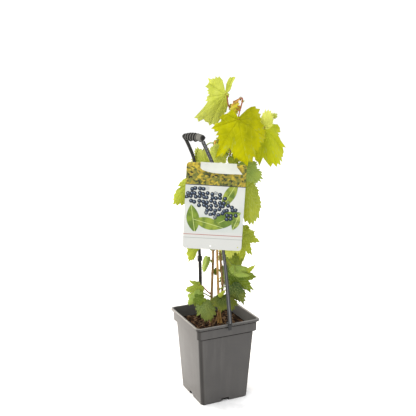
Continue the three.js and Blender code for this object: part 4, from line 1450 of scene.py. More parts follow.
class Rule:
    """The source's seeded rule for the leaves, carried on to finer twigs."""

    TRIES = 10
    FIRST = 0.3
    SPREAD = 0.4
    LEAVE, ENTER, UNDER = 0.38, 0.22, 0.16
    CLIMB = 0.55
    STAND = 0.6
    STALK_FOOT = 1.5
    ROOM = 3.5
    WIDE_ROOM = 5.0
    NEAR_SIDE = 60.0
    POT_HALF, POT_LIFT, OVER_RIM = 66.0, 8.0, 4.0
    HAND_LOW, HAND_HIGH = (-66, -42, 600), (-26, 42, 641)
    OTHER_TURN, OTHER_CLIMB = (38, 98), (0.25, 0.95)
    OTHER_SIZE, OTHER_REACH = (0.5, 0.85), (0.42, 0.72)
    OTHER_FACE, OTHER_TILT, OTHER_ROLL = (-15, 15), (16, 50), (-25, 25)
    SPRIG_SEED, TWIG_SEED = 700, 500
    TWIGS = 2
    TWIG_TRIES = 12
    TWIG_TURN, TWIG_CLIMB = (-100, 100), (0.3, 1.1)
    TWIG_SIZE, TWIG_REACH = (14.0, 30.0), (0.5, 0.9)
    TWIG_FACE, TWIG_TILT, TWIG_ROLL = (-20, 20), (5, 45), (-30, 30)
    TWIG_OFF = 0.4
    TWIG_ROOM = 1.2
    YOUNG_ABOVE = 300
    OPEN_BELOW, OPEN_ABOVE = 240.0, 395.0
    LOW_SIDES, HIGH_SIDES = (0.5, 0.1), (0.2, 0.5)
    HIDDEN_NEAR = 0.3

    def __init__(self, limbs: Limbs) -> None:
        """Takes the measured limbs and gathers what the leaves keep clear of.

        Args:
            limbs: The measured limbs.
        """
        self.limbs = limbs
        self.things = [Card().cloud(), Handle().grip_line().spaced(12)]
        self.things += [Handle().strap_line(side).spaced(70) for side in (-1, 1)]
        self.things += [line.spaced(90) for line in limbs.lines.values()]
        self.placed: list[Known] = []

    def keep(self, leaf: Leaf) -> Known:
        """Gives what the tests for room need to know of a leaf: itself, its blade's points and its stalk's."""
        return leaf, leaf.cloud(), leaf.stalk.spaced(10)

    def in_space(self, cloud: Iterable[Vector]) -> bool:
        """Tells whether points stay in the plant's space and out of the hand gap.

        Args:
            cloud: The points.

        Returns:
            True where all of them do.
        """
        for p in cloud:
            in_pot = max(abs(p.x), abs(p.y)) < self.POT_HALF and p.z > Pot.SOIL + self.POT_LIFT
            in_hand = all(low < c < high for low, c, high in zip(self.HAND_LOW, p, self.HAND_HIGH))
            if in_hand or not (in_pot or p.z > Pot.HEIGHT + self.OVER_RIM):
                return False
        return True

    def has_room(self, found: Known, room: float, wide: float) -> bool:
        """Tells whether a leaf has room among the things and leaves that are there.

        Args:
            found: The leaf with its points.
            room: The space between leaves.
            wide: The space round limbs, card and handle.

        Returns:
            True where it has.
        """
        leaf, cloud, stalk = found
        if not self.in_space(cloud) or any(leaf.cuts(thing, wide) for thing in self.things):
            return False
        free = stalk[1:]
        for other, points, other_stalk in self.placed:
            if leaf.cuts(points, room) or other.cuts(cloud, room):
                return False
            if other.cuts(free, room) or leaf.cuts(other_stalk[2:-1], room):
                return False
        return True

    def start(self, mass: Mass) -> tuple[Vector, Vector]:
        """Finds where a side shoot starts, just clear of its limb.

        Args:
            mass: The mass that the shoot carries.

        Returns:
            The start and the direction.
        """
        place = self.limbs.place(mass.limb, mass.node)
        if place.at_tip:
            return place.point + place.lead * CLEAR, place.lead
        way, reach, _ = mass.joint
        leave = along(way) * reach - place.point
        leave.z = 0
        leave.normalize()
        start = place.point + leave * (place.radius + self.STALK_FOOT * self.STAND + CLEAR)
        return start, (leave + UP * self.CLIMB).normalized()

    def other(self, mass: Mass, share: float, side: int, shoot: Line, dice: Dice) -> Leaf:
        """Draws one more leaf from a place along a shoot.

        Args:
            mass: The mass.
            share: The place along the shoot.
            side: 1 or -1, the side that it leaves to.
            shoot: The lead leaf's stalk.
            dice: The mass's stream.

        Returns:
            The leaf, with its stalk.
        """
        start, lead = shoot.at(share), shoot.lead(share)
        way = math.degrees(math.atan2(lead.x, -lead.y)) + side * dice.between(*self.OTHER_TURN)
        size = mass.size * dice.between(*self.OTHER_SIZE)
        leave = (along(way) + UP * dice.between(*self.OTHER_CLIMB)).normalized()
        joint = start + leave * (size * dice.between(*self.OTHER_REACH))
        face = way + dice.between(*self.OTHER_FACE)
        pose = (face, dice.between(*self.OTHER_TILT), dice.between(*self.OTHER_ROLL))
        leaf = Leaf.posed(joint, pose, size, None, dice)
        leaf.hang(start, leave)
        return leaf

    def grow(self) -> list[Grown]:
        """Grows every mass as the source does: lead leaves first, then the others where they have room.

        Returns:
            The masses with their leaves.
        """
        grown = []
        for order, mass in enumerate(MASSES):
            dice = Dice(order + 1)
            way, reach, height = mass.joint
            joint = along(way) * reach + UP * (Pot.SOIL + CLEAR + height)
            leaf = Leaf.posed(joint, mass.pose, mass.size, mass.folds, dice)
            leaf.hang(*self.start(mass))
            leaf.tint, leaf.halves = mass.tint, HALVES.get(mass.name, leaf.halves)
            self.placed.append(self.keep(leaf))
            grown.append(Grown(mass, dice, [leaf]))
        for one in grown:
            for k in range(one.mass.more):
                share = self.FIRST + self.SPREAD * k / max(1, one.mass.more - 1)
                for attempt in range(self.TRIES):
                    side = 1 if (k + attempt) % 2 else -1
                    found = self.keep(self.other(one.mass, share, side, one.leaves[0].stalk, one.dice))
                    if self.has_room(found, self.ROOM, self.WIDE_ROOM):
                        found[0].tint = one.mass.tint
                        self.placed.append(found)
                        one.leaves.append(found[0])
                        break
        return grown

    def sprigs(self, grown: Sequence[Grown]) -> None:
        """Adds the small side leaves that are listed one by one.

        Args:
            grown: The masses, which take the new leaves.
        """
        masses = {one.mass.name: one for one in grown}
        for order, sprig in enumerate(SPRIGS):
            shoot = masses[sprig.mass].leaves[0].stalk
            way, reach, height = sprig.joint
            joint = along(way) * reach + UP * (Pot.SOIL + CLEAR + height)
            leaf = Leaf.posed(joint, sprig.pose, sprig.size, sprig.folds, Dice(self.SPRIG_SEED + order))
            leaf.hang(shoot.at(sprig.share), shoot.lead(sprig.share))
            leaf.tint, leaf.halves = sprig.tint, sprig.halves
            self.placed.append(self.keep(leaf))
            masses[sprig.mass].leaves.append(leaf)

    def is_open(self, mass: Mass, way: float) -> bool:
        """Tells whether the plant stays open on a side, so that the sky shows beside its stems from the camera.

        Args:
            mass: The mass at the node.
            way: The way that a twig leaves the limb.

        Returns:
            True where no twig is wanted.
        """
        is_low = mass.node < self.OPEN_BELOW
        rightward, near = along(way).dot(along(VIEW_WAY + 90)), along(way).dot(along(VIEW_WAY))
        least_right, most_near = self.LOW_SIDES if is_low else self.HIGH_SIDES
        in_sky = rightward < least_right or near > most_near
        if is_low:
            return in_sky or mass.limb is not RIGHT
        return in_sky and not (self.OPEN_BELOW < mass.node < self.OPEN_ABOVE and near < self.HIDDEN_NEAR)

    def twigs(self, grown: Sequence[Grown]) -> None:
        """Adds a small leaf or two at each node, on the other side of the limb, where they have room.

        Args:
            grown: The masses, which take the new leaves.
        """
        for order, one in enumerate(grown):
            dice = Dice(self.TWIG_SEED + order)
            place = self.limbs.place(one.mass.limb, one.mass.node)
            found = 0
            for _ in range(self.TWIG_TRIES):
                way = one.mass.joint[0] + 180 + dice.between(*self.TWIG_TURN)
                size = dice.between(*self.TWIG_SIZE)
                leave = (along(way) + UP * dice.between(*self.TWIG_CLIMB)).normalized()
                start = place.point + leave * (place.radius + self.TWIG_OFF)
                joint = start + leave * (size * dice.between(*self.TWIG_REACH))
                face = way + dice.between(*self.TWIG_FACE)
                pose = (face, dice.between(*self.TWIG_TILT), dice.between(*self.TWIG_ROLL))
                leaf = Leaf.posed(joint, pose, size, None, dice)
                leaf.hang(start, leave)
                if found == self.TWIGS or self.is_open(one.mass, way):
                    continue
                known = self.keep(leaf)
                if self.has_room(known, self.TWIG_ROOM, self.TWIG_ROOM):
                    leaf.tint = Tint.YOUNG if one.mass.node > self.YOUNG_ABOVE else Tint.LIGHT
                    self.placed.append(known)
                    one.leaves.append(leaf)
                    found += 1


@dataclass(frozen=True)
class BladeCut:
    """How finely a blade is made: its rings, and the angle that one tooth takes."""

    rings: tuple[float, ...]
    pitch: float


class SpokeKind(Enum):
    """What a line from the stalk to the edge is."""

    RIB = "the ridge of a main vein"
    FLANK = "the side of a main vein"
    WEB = "the blade between two veins"


@dataclass(frozen=True)
class Spoke:
    """One line of a blade's mesh, from the stalk to the edge."""

    kind: SpokeKind
    side: int
    sector: int
    share: float
    tooth: float = 0.0


class LeafMaker:
    """Makes one blade: two skins of spokes and rings, with raised veins and a toothed edge."""

    LARGE = BladeCut((0.05, 0.14, 0.27, 0.42, 0.57, 0.71, 0.83, 0.93, 1.0), 9.0)
    SMALL = BladeCut((0.1, 0.3, 0.55, 0.8, 1.0), 15.0)
    SMALL_BELOW = 30.0
    TOOTH, TOOTH_MM = 0.045, 2.0
    THICK = 0.4
    RIM_THICK = 0.2
    PILLOW = 0.045
    SINK = 0.014
    RIB = 0.011
    RIPPLE = 0.03
    CRUMPLE = 0.03
    SOFT_FOLD = 0.03
    JITTER = 0.25
    TEETH_OUT, TEETH_IN = (0.5, 1.5), (0.4, 1.0)
    VEIN_WIDEST = 5.0
    VEIN_TAPER = 0.8
    RIB_TAPER = 0.85
    RIPPLES_ROUND = 9
    FLANK_SINK = 0.6
    CRUMPLES = 7
    PILLOW_RIM = 1.12

    def __init__(self, leaf: Leaf) -> None:
        """Lays out the lines of a blade, from its tip round to its base and back.

        Args:
            leaf: The leaf.
        """
        self.leaf = leaf
        self.cut = self.SMALL if leaf.size < self.SMALL_BELOW else self.LARGE
        self.dice = Dice(int(abs(leaf.joint.z) * 10))
        right, left = self.half(1), self.half(-1)
        self.spokes = [Spoke(SpokeKind.RIB, 1, 0, 0.0), *right, Spoke(SpokeKind.WEB, 1, 3, 1.0), *left[::-1]]

    def half(self, side: int) -> list[Spoke]:
        """Lays out the lines of one side, without the midrib.

        Args:
            side: 1 or -1, the side of the midrib.

        Returns:
            The lines, from the midrib round to the base.
        """
        spokes: list[Spoke] = []
        veins = self.angles(side)
        for k, (low, high) in enumerate(zip(veins, veins[1:])):
            if k:
                spokes += [Spoke(SpokeKind.FLANK, side, k - 1, 1.0), Spoke(SpokeKind.RIB, side, k, 0.0)]
            spokes.append(Spoke(SpokeKind.FLANK, side, k, 0.0))
            teeth = max(2, round((high - low) / self.cut.pitch))
            for step in range(1, 2 * teeth):
                share = (step + self.dice.between(-self.JITTER, self.JITTER)) / (2 * teeth)
                tooth = self.dice.between(*self.TEETH_OUT) if step % 2 == 0 else -self.dice.between(*self.TEETH_IN)
                tooth *= self.TOOTH + self.TOOTH_MM / self.leaf.size
                spokes.append(Spoke(SpokeKind.WEB, side, k, share, tooth))
        return spokes

    def angles(self, side: int) -> tuple[float, ...]:
        """Gives the angles of the midrib, the side veins and the base, on one side."""
        return (0.0, *self.leaf.halves[side > 0].veins, 180.0)

    def flank(self, side: int, vein: int, ring: float) -> float:
        """Gives half the angle that a main vein takes up at a ring.

        Args:
            side: 1 or -1, the side of the midrib.
            vein: The vein's number, from the midrib's 0.
            ring: The share of the way from the stalk to the edge.

        Returns:
            The angle in degrees.
        """
        if vein >= len(Blade.VEINS):
            return 0.0
        reach = from_table(self.leaf.halves[side > 0].edge, self.angles(side)[vein])
        width = Blade.VEIN_WIDTH[vein] * (1 - self.VEIN_TAPER * ring)
        return min(self.VEIN_WIDEST, math.degrees(width / (ring * reach)))

    def spot(self, spoke: Spoke, ring: float) -> tuple[float, float, float]:
        """Gives a line's angle and distance at a ring, and its angle on the plain leaf that the pattern is for.

        Args:
            spoke: The line.
            ring: The share of the way from the stalk to the edge.

        Returns:
            Angle in degrees, distance in shares of the midrib, and the angle on the plain leaf.
        """
        veins, k = self.angles(spoke.side), spoke.sector
        angle = veins[k]
        if spoke.kind is not SpokeKind.RIB:
            low = angle + self.flank(spoke.side, k, ring)
            high = veins[k + 1] - self.flank(spoke.side, k + 1, ring)
            angle = lerp(low, high, spoke.share)
        reach = from_table(self.leaf.halves[spoke.side > 0].edge, angle)
        if ring == 1.0:
            reach *= 1 + spoke.tooth * min(1.0, reach * 2)
        plain = (*Blade.VEINS, 180)
        share = (angle - veins[k]) / (veins[k + 1] - veins[k])
        return spoke.side * angle, ring * reach, spoke.side * lerp(plain[k], plain[k + 1], share)

    def lift(self, spoke: Spoke, ring: float, u: float, v: float) -> float:
        """Gives how far the blade's relief stands out at a point.

        Args:
            spoke: The line that the point is on.
            ring: The share of the way from the stalk to the edge.
            u: The point's place along the midrib, in shares of its length.
            v: Its place across the midrib.

        Returns:
            The height, in shares of the midrib.
        """
        ripple = self.RIPPLE * ring**4 * math.sin(math.atan2(v, u) * self.RIPPLES_ROUND + 3 * self.leaf.phase)
        if spoke.kind is SpokeKind.RIB:
            return ripple - self.SINK
        if spoke.kind is SpokeKind.FLANK:
            return ripple - self.SINK * self.FLANK_SINK
        crumple = noise.noise(Vector((u * self.CRUMPLES, v * self.CRUMPLES, self.leaf.phase * 5)))
        pillow = self.PILLOW * math.sin(math.pi * spoke.share) * ring * (self.PILLOW_RIM - ring)
        return ripple + crumple * self.CRUMPLE * ring + pillow

    def add(self, sheaf: Sheaf, first_slot: int) -> None:
        """Adds the blade to a mesh.

        Args:
            sheaf: The mesh.
            first_slot: The slot of its top, which the slots of its underside and its veins follow.
        """
        leaf, count = self.leaf, len(self.spokes)
        skins = []
        for below in (False, True):
            rings = []
            hub = sheaf.point(leaf.at(0, 0, -self.THICK if below else 0.0), (Blade.MIDDLE, Blade.MIDDLE))
            for ring in self.cut.rings:
                row = []
                for spoke in self.spokes:
                    angle, reach, plain = self.spot(spoke, ring)
                    u, v = reach * math.cos(math.radians(angle)), reach * math.sin(math.radians(angle))
                    lift = self.lift(spoke, ring, u, v) * leaf.size
                    if below:
                        lift -= lerp(self.THICK, self.RIM_THICK, ring)
                        ridge = self.RIB * leaf.size * (1 - self.RIB_TAPER * ring)
                        lift -= ridge if spoke.kind is SpokeKind.RIB else 0.0
                    across = reach * Blade.SPREAD
                    spot = [Blade.MIDDLE + across * turn(math.radians(plain)) for turn in (math.cos, math.sin)]
                    row.append(sheaf.point(leaf.at(u, v, lift, self.SOFT_FOLD), spot))
                rings.append(row)
            for i in range(count):
                j = (i + 1) % count
                veined = {self.spokes[i].kind, self.spokes[j].kind} == {SpokeKind.RIB, SpokeKind.FLANK}
                slot = first_slot + (2 if veined else 1 if below else 0)
                strips = [(hub, rings[0][i], rings[0][j])]
                strips += [(inner[i], outer[i], outer[j], inner[j]) for inner, outer in zip(rings, rings[1:])]
                for corners in strips:
                    sheaf.face(corners[::-1] if below else corners, slot)
            skins.append(rings[-1])
        for i in range(count):
            j = (i + 1) % count
            sheaf.face((skins[0][i], skins[1][i], skins[1][j], skins[0][j]), first_slot, False)


@dataclass
class Foliage:
    """The leaves of all the masses, their stalks and their tendrils."""

    stalk_foot: float = 1.5
    stalk_tip: float = 0.95
    stalk_sides: int = 8
    stalk_steps: int = 18
    stalk_swell: tuple[float, float] = (0.5, 0.3)
    swell_reach: tuple[float, float] = (0.06, 0.05)
    slim_most: float = 1.25
    slim_least: float = 0.95
    slim_by: float = 120.0
    tendril_cut: tuple[int, int] = (60, 6)
    tendril_thick: tuple[float, float] = (0.75, 0.3)
    tendril_way: tuple[float, float, float] = (0.35, 0.65, 0.78)
    tendril_sag: float = 0.06
    coil_steps: int = 9
    coil_turn: float = 0.75
    coil_size: float = 0.13
    coil_close: float = 0.07
    coil_drift: float = 0.012
    # each tendril: its limb, the height of its node, its way and climb, its reach and the side that it curls to
    tendrils: tuple[tuple[Limb, float, tuple[float, float], float, int], ...] = (
        (RIGHT, 462, (-115, 0.1), 36, 1),
        (RIGHT, 380, (40, 0.6), 40, -1),
        (LEFT, 300, (150, 0.5), 38, 1),
        (RIGHT, 232, (150, 0.4), 42, -1),
        (LEFT, 205, (-150, 0.5), 30, 1),
        (RIGHT, 150, (80, 0.3), 36, 1),
    )

    def build(self, limbs: Limbs, effects: Effects) -> list[bpy.types.Object]:
        """Grows the plant and makes its pieces.

        Args:
            limbs: The measured limbs.
            effects: The shared node groups.

        Returns:
            The pieces, one of blades for each limb, the stalks and the tendrils.
        """
        rule = Rule(limbs)
        grown = rule.grow()
        rule.sprigs(grown)
        rule.twigs(grown)
        materials = leaf_materials(effects)
        pieces = []
        for limb in LIMBS:
            sheaf = Sheaf(f"{limb.name}_blades", materials)
            mine = [one for one in grown if one.mass.limb is limb]
            for leaf in [leaf for one in mine for leaf in one.leaves]:
                LeafMaker(leaf).add(sheaf, len(LEAF_SIDES) * list(Tint).index(leaf.tint))
            piece = sheaf.build()
            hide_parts(*[one.mass.name for one in mine])
            pieces.append(piece)
        leaves = [(leaf, one.mass.ruddy) for one in grown for leaf in one.leaves]
        pieces.append(self.stalks(leaves, effects))
        pieces.append(self.curls(limbs, effects))
        return pieces

    def stalk_radius(self, share: float, slim: float) -> float:
        """Gives a stalk's radius, with a swell at both ends.

        Args:
            share: The share of its length.
            slim: How stout the whole stalk is.

        Returns:
            The radius.
        """
        near, far = [math.exp(-((way / reach) ** 2)) for way, reach in zip((share, 1 - share), self.swell_reach)]
        swell = self.stalk_swell[0] * near + self.stalk_swell[1] * far
        return (lerp(self.stalk_foot, self.stalk_tip, share) + swell) * slim

    def stalks(self, leaves: Sequence[tuple[Leaf, bool]], effects: Effects) -> bpy.types.Object:
        """Makes the stalks of the leaves.

        Args:
            leaves: Each leaf, and whether its stalk is ruddy.
            effects: The shared node groups.

        Returns:
            The piece.
        """
        green = Finish("stalk_green", "8FA03A", 0.62, 0.55, 0.3, 0.05).build(effects)
        ruddy = Finish("stalk_ruddy", "A85C34", 0.62, 0.5, 0.35, 0.05).build(effects)
        sheaf = Sheaf("leaf_stalks", (green, ruddy))
        for leaf, red in leaves:
            slim = min(self.slim_most, self.slim_least + leaf.size / self.slim_by)
            radius = partial(self.stalk_radius, slim=slim)
            sheaf.tube(leaf.stalk, self.stalk_steps, self.stalk_sides, radius, int(red))
        piece = sheaf.build()
        return piece

    def curls(self, limbs: Limbs, effects: Effects) -> bpy.types.Object:
        """Makes the tendrils, which run out straight and end in a curl.

        Args:
            limbs: The measured limbs.
            effects: The shared node groups.

        Returns:
            The piece.
        """
        ruddy = Finish("tendril_skin", "B4683C", 0.62, 0.5, 0.35, 0.05).build(effects)
        sheaf = Sheaf("tendrils", (ruddy,))
        near, far, coil = self.tendril_way
        for limb, node, (way, climb), reach, turn in self.tendrils:
            place = limbs.place(limb, node)
            out = (along(way) + UP * climb).normalized()
            side = out.cross(UP).normalized() * turn
            start = place.point + out * place.radius
            sag = UP * (reach * self.tendril_sag)
            points = [start, start + out * (reach * near), start + out * (reach * far) - sag]
            for k in range(self.coil_steps):
                angle = k * self.coil_turn
                radius = reach * self.coil_size * (1 - self.coil_close * k)
                around = side * math.sin(angle) - UP * (1 - math.cos(angle))
                points.append(start + out * (reach * (coil + self.coil_drift * k)) + around * radius - sag)
            sheaf.tube(spline(points), *self.tendril_cut, lambda share: lerp(*self.tendril_thick, share))
        piece = sheaf.build()
        return piece


@dataclass
class Stems:
    """The woody stems, with ridged bark, swollen nodes and buds."""

    sides: int = 18
    step: float = 2.2
    knee: float = 0.45
    knee_reach: float = 3.2
    stout: tuple[float, float, float] = (1.05, 1.45, 1.25)
    rough: tuple[float, float, float] = (0.11, 0.035, 0.035)
    ridges: int = 5
    ridge_twist: float = 0.013
    ridge_depth: float = 0.5
    knots_round: float = 1.6
    knots_up: float = 0.05
    sink: float = 3.0
    young_from: float = 0.72
    tip_from: float = 0.97
    bud_turn: float = 137.0
    bud_first: float = 40.0
    bud_cut: tuple[int, int] = (8, 8)
    bud_sunk: float = 0.6
    bud_lift: float = 1.5
    bud_belly: float = 1.6
    bud_size: tuple[float, float] = (2.6, 4.2)
    bud_thick: tuple[float, float] = (0.15, 1.5)

    def nodes(self, limb: Limb) -> list[float]:
        """Gives the heights of a limb's nodes."""
        return sorted({float(mass.node) for mass in MASSES if mass.limb is limb})

    def build(self, limbs: Limbs, effects: Effects) -> list[bpy.types.Object]:
        """Makes the three stems and the buds.

        Args:
            limbs: The measured limbs.
            effects: The shared node groups.

        Returns:
            The pieces.
        """
        ripe = BarkFinish("ripe_wood", "C89C58", 0.72, 0.75, 0.1, streak="7A5428", depth=0.7).build(effects)
        brown = BarkFinish("brown_shoot", "80602C", 0.7, 0.6, 0.15, streak="4A2E16", depth=0.35).build(effects)
        green = BarkFinish("green_shoot", "9A7E3C", 0.66, 0.5, 0.2, streak="6A4A2A", depth=0.2).build(effects)
        amber = Finish("amber_tip", "E8B45C", 0.8, 0.5, 0.1).build(effects)
        pieces = []
        for limb in LIMBS:
            piece = self.stem(limb, limbs.lines[limb.name], (ripe,) if limb is MAIN else (brown, green, amber))
            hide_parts(limb.name)
            pieces.append(piece)
        pieces.append(self.buds(limbs, brown))
        return pieces

    def stem(self, limb: Limb, line: Line, materials: Sequence[bpy.types.Material]) -> bpy.types.Object:
        """Makes one stem.

        Args:
            limb: The limb.
            line: Its centre line.
            materials: The bark, and for a young shoot the skins that take its place further up and at the tip.

        Returns:
            The piece.
        """
        steps = round(line.length / self.step)
        frames = line.frames(steps)
        radius = limb.radius(line.length)
        stout, rough = self.stout[LIMBS.index(limb)], self.rough[LIMBS.index(limb)]
        knees = [node + Pot.SOIL + CLEAR for node in self.nodes(limb)]

        def place(side: int, share: float) -> Vector:
            """Gives a point of the bark.

            Args:
                side: The number of the corner of the section.
                share: The share of the stem's length.

            Returns:
                The point.
            """
            k = round(share * steps)
            centre, a, b = frames[k]
            angle = FULL_TURN * side / self.sides
            swell = sum(math.exp(-(((centre.z - z) / self.knee_reach) ** 2)) for z in knees)
            ridge = math.sin(angle * self.ridges + centre.z * self.ridge_twist) * self.ridge_depth
            spot = (math.cos(angle) * self.knots_round, math.sin(angle) * self.knots_round, centre.z * self.knots_up)
            ridge += noise.noise(Vector(spot))
            r = radius(share) * stout * (1 + rough * ridge) + self.knee * swell * min(1.0, radius(share) / 2)
            point = centre + a * (r * math.cos(angle)) + b * (r * math.sin(angle))
            if k == 0:
                point.z = Pot.SOIL - self.sink
            return point

        bm = bmesh.new()
        rolled(bm, self.sides, steps, place)
        if len(materials) > 1:
            high = max(z for _, _, z in limb.path)
            young, tip = [Pot.SOIL + CLEAR + high * share for share in (self.young_from, self.tip_from)]
            for face in bm.faces:
                z = face.calc_center_median().z
                face.material_index = (z > young) + (z > tip)
        return finished(bm, f"{limb.name}_bark", materials, 80.0)

    def bud_radius(self, share: float) -> float:
        """Gives a bud's radius at a share of its length: blunt at the foot, and a point at the tip."""
        return self.bud_thick[0] + self.bud_thick[1] * math.sin(math.pi * (0.25 + 0.75 * share)) ** 0.8

    def buds(self, limbs: Limbs, skin: bpy.types.Material) -> bpy.types.Object:
        """Makes a pointed bud at each node, which turn round the stem from one to the next.

        Args:
            limbs: The measured limbs.
            skin: The bark of the buds.

        Returns:
            The piece.
        """
        sheaf = Sheaf("stem_buds", (skin,))
        for limb in LIMBS:
            for k, node in enumerate(self.nodes(limb)):
                place = limbs.place(limb, node)
                if place.at_tip:
                    continue
                out = along(self.bud_turn * k + self.bud_first)
                foot = place.point + out * (place.radius * self.bud_sunk) + UP * self.bud_lift
                tip = foot + out * self.bud_size[0] + UP * self.bud_size[1]
                line = bezier(foot, foot + out * self.bud_belly, tip - UP * self.bud_lift, tip)
                sheaf.tube(line, *self.bud_cut, self.bud_radius)
        piece = sheaf.build()
        return piece


# ---- the pot and its bark mix ----


class PotSkin(Enum):
    """The finishes of the pot in the order of their slots: name, colour and gloss."""

    PLAIN = ("pot_plastic", "3D3B3A", 0.45)
    # painted shade: a near-black finish for the creases under the band and the lip, and for the drain slots
    CREASE = ("pot_crease_painted_shade", "100F0E", 0.05)
    PALE_TOP_EDGE = ("pot_pale_top_edge", "62605E", 0.4)
    # painted light: the same plastic made lighter on the inner walls, which sit in shade
    INNER = ("pot_inner_painted_light", "525251", 0.25)
    # painted reflection: darker greys on the rounded corners, for the dark side of the room seen in them
    CORNER = ("pot_corner_painted_reflection", "262423", 0.28)
    CORNER_EDGE = ("pot_corner_edge_painted_reflection", "33312F", 0.38)

    @property
    def slot(self) -> int:
        """Gives the number of its slot."""
        return list(PotSkin).index(self)


@dataclass
class Pot:
    """The square pot: a tapered bucket with a stepped-out band and a thin lip."""

    foot: float = 63.0
    shoulder: float = 74.5
    band: float = 80.0
    band_top: float = 82.0
    lip: float = 85.0
    band_height: float = 30.0
    lip_height: float = 6.0
    wall: float = 2.0
    floor: float = 3.0
    corner: float = 10.0
    corner_steps: int = 8
    corner_edge: float = 0.2
    reflection_middle_slant: float = 0.45
    pale_top_depth: float = 0.95
    crease_shade_reach: tuple[float, float] = (3.8, 0.4)
    slot_size: tuple[float, float, float] = (21.0, 11.0, 18.0)
    slot_round: float = 1.2
    slot_proud: float = 3.0
    slot_end: float = 55.0
    shade_plate_size: tuple[float, float, float] = (24.0, 2.0, 10.0)
    shade_plate_in: float = 1.2
    shade_plate_height: float = 8.1
    shade_plate_round: float = 0.3

    SOIL = 183.0
    HEIGHT = 210.0
    SIGNS = (1, 1, -1, -1)

    def half(self, z: float) -> float:
        """Gives half the outer width below the band."""
        return lerp(self.foot, self.shoulder, z / (self.HEIGHT - self.band_height))

    def profile(self) -> list[tuple[float, float]]:
        """Lays out the rings of the shell.

        Returns:
            Half width and height of each ring, up the outside and down the inside.
        """
        band_foot = self.HEIGHT - self.band_height
        lip_foot = self.HEIGHT - self.lip_height
        outer = [(self.foot - 2.2, 0.0), (self.foot - 0.6, 0.5), (self.half(2.2), 2.2)]
        outer += [(self.half(z), z) for z in (20, 60, 100, 140, 170)]
        outer += [(self.shoulder - 0.6, band_foot - 5.0), (self.shoulder - 0.6, band_foot - 2.0)]
        outer += [(self.band - 0.8, band_foot - 1.0), (self.band, band_foot - 0.2)]
        outer += [(self.band_top - 1.6, lip_foot - 3.6), (self.band_top - 1.8, lip_foot - 1.6)]
        outer += [(self.lip - 0.7, lip_foot), (self.lip, lip_foot + 0.7)]
        outer += [(self.lip, self.HEIGHT - 0.9), (self.lip - 0.9, self.HEIGHT)]
        top = self.band_top - self.wall
        inner = [(top + 0.8, self.HEIGHT), (top, self.HEIGHT - 0.8), (top, lip_foot)]
        inner += [(self.band - self.wall, band_foot + 0.5), (self.shoulder - self.wall, band_foot - 2)]
        inner += [(self.half(self.floor) - self.wall, self.floor)]
        return outer + inner

    def ring(self, half: float, z: float) -> list[Vector]:
        """Gives a level square with rounded corners.

        Args:
            half: Half its width.
            z: Its height.

        Returns:
            Its points, in order.
        """
        found = []
        for side in range(4):
            sx, sy = self.SIGNS[(side + 1) % 4], self.SIGNS[side]
            for k in range(self.corner_steps + 1):
                angle = (side + k / self.corner_steps) * math.pi / 2
                x = sx * (half - self.corner) + self.corner * math.cos(angle)
                y = sy * (half - self.corner) + self.corner * math.sin(angle)
                found.append(Vector((x, y, z)))
        return found

    def skin(self, face: bmesh.types.BMFace) -> PotSkin:
        """Chooses the finish of a face of the shell.

        Args:
            face: The face.

        Returns:
            The finish.
        """
        middle = face.calc_center_median()
        # the top faces of the rim take a paler grey
        if middle.z > self.HEIGHT - self.pale_top_depth:
            return PotSkin.PALE_TOP_EDGE
        # painted light on the inner walls
        if middle.z > self.floor and face.normal.xy.dot(middle.xy) < 0:
            return PotSkin.INNER
        # painted shade in the creases under the band and under the lip
        low, high = self.crease_shade_reach
        creases = (self.HEIGHT - self.band_height, self.HEIGHT - self.lip_height)
        if any(z - low < middle.z < z - high for z in creases):
            return PotSkin.CREASE
        # painted reflection: the rounded corners darken, most towards their middle
        near, far = sorted((abs(face.normal.x), abs(face.normal.y)))
        if near > self.reflection_middle_slant * far:
            return PotSkin.CORNER
        return PotSkin.CORNER_EDGE if near > self.corner_edge * far else PotSkin.PLAIN

    def build(self, effects: Effects) -> list[bpy.types.Object]:
        """Makes the pot.

        Args:
            effects: The shared node groups.

        Returns:
            The piece, in a list.
        """
        skins = [
            PlasticFinish(name, tone, 1.0, 0.36, gloss, 0.01, scuff=0.03).build(effects)
            for name, tone, gloss in (skin.value for skin in PotSkin)
        ]
        rings = [self.ring(half, z) for half, z in self.profile()]
        steps = len(rings) - 1
        bm = bmesh.new()
        rolled(bm, len(rings[0]), steps, lambda side, share: rings[round(share * steps)][side].copy())
        for vert in bm.verts:
            vert.co.z = max(0.0, vert.co.z)
        for face in bm.faces:
            face.material_index = self.skin(face).slot
        pot = finished(bm, "pot_shell", skins, 30.0)
        self.cut_slots(pot)
        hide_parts("pot")
        return [pot]

    def cut_slots(self, pot: bpy.types.Object) -> None:
        """Cuts the drain slot at the foot of each side, with painted shade on its inner faces and a near-black plate
        of painted shade behind it.

        Args:
            pot: The shell to cut.
        """
        bm = bmesh.new()
        for side in range(4):
            turn = Matrix.Rotation(side * math.pi / 2, 4, "Z")
            place = Matrix.Translation((0, -self.foot + self.slot_size[1] / 2 - self.slot_proud, 0))
            softened_box(bm, self.slot_size, turn @ place, self.slot_round)
        bmesh.ops.scale(bm, vec=(MM, MM, MM), verts=bm.verts)
        mesh = bpy.data.meshes.new("slot_cutter")
        bm.to_mesh(mesh)
        bm.free()
        cutter = bpy.data.objects.new("slot_cutter", mesh)
        bpy.context.scene.collection.objects.link(cutter)
        cut = pot.modifiers.new("slots", "BOOLEAN")
        cut.operation, cut.solver, cut.object = "DIFFERENCE", "EXACT", cutter
        graph = bpy.context.evaluated_depsgraph_get()
        whole = bpy.data.meshes.new_from_object(pot.evaluated_get(graph))
        pot.modifiers.clear()
        bpy.data.objects.remove(cutter)
        bm = bmesh.new()
        bm.from_mesh(whole)
        wide, _, high = self.slot_size
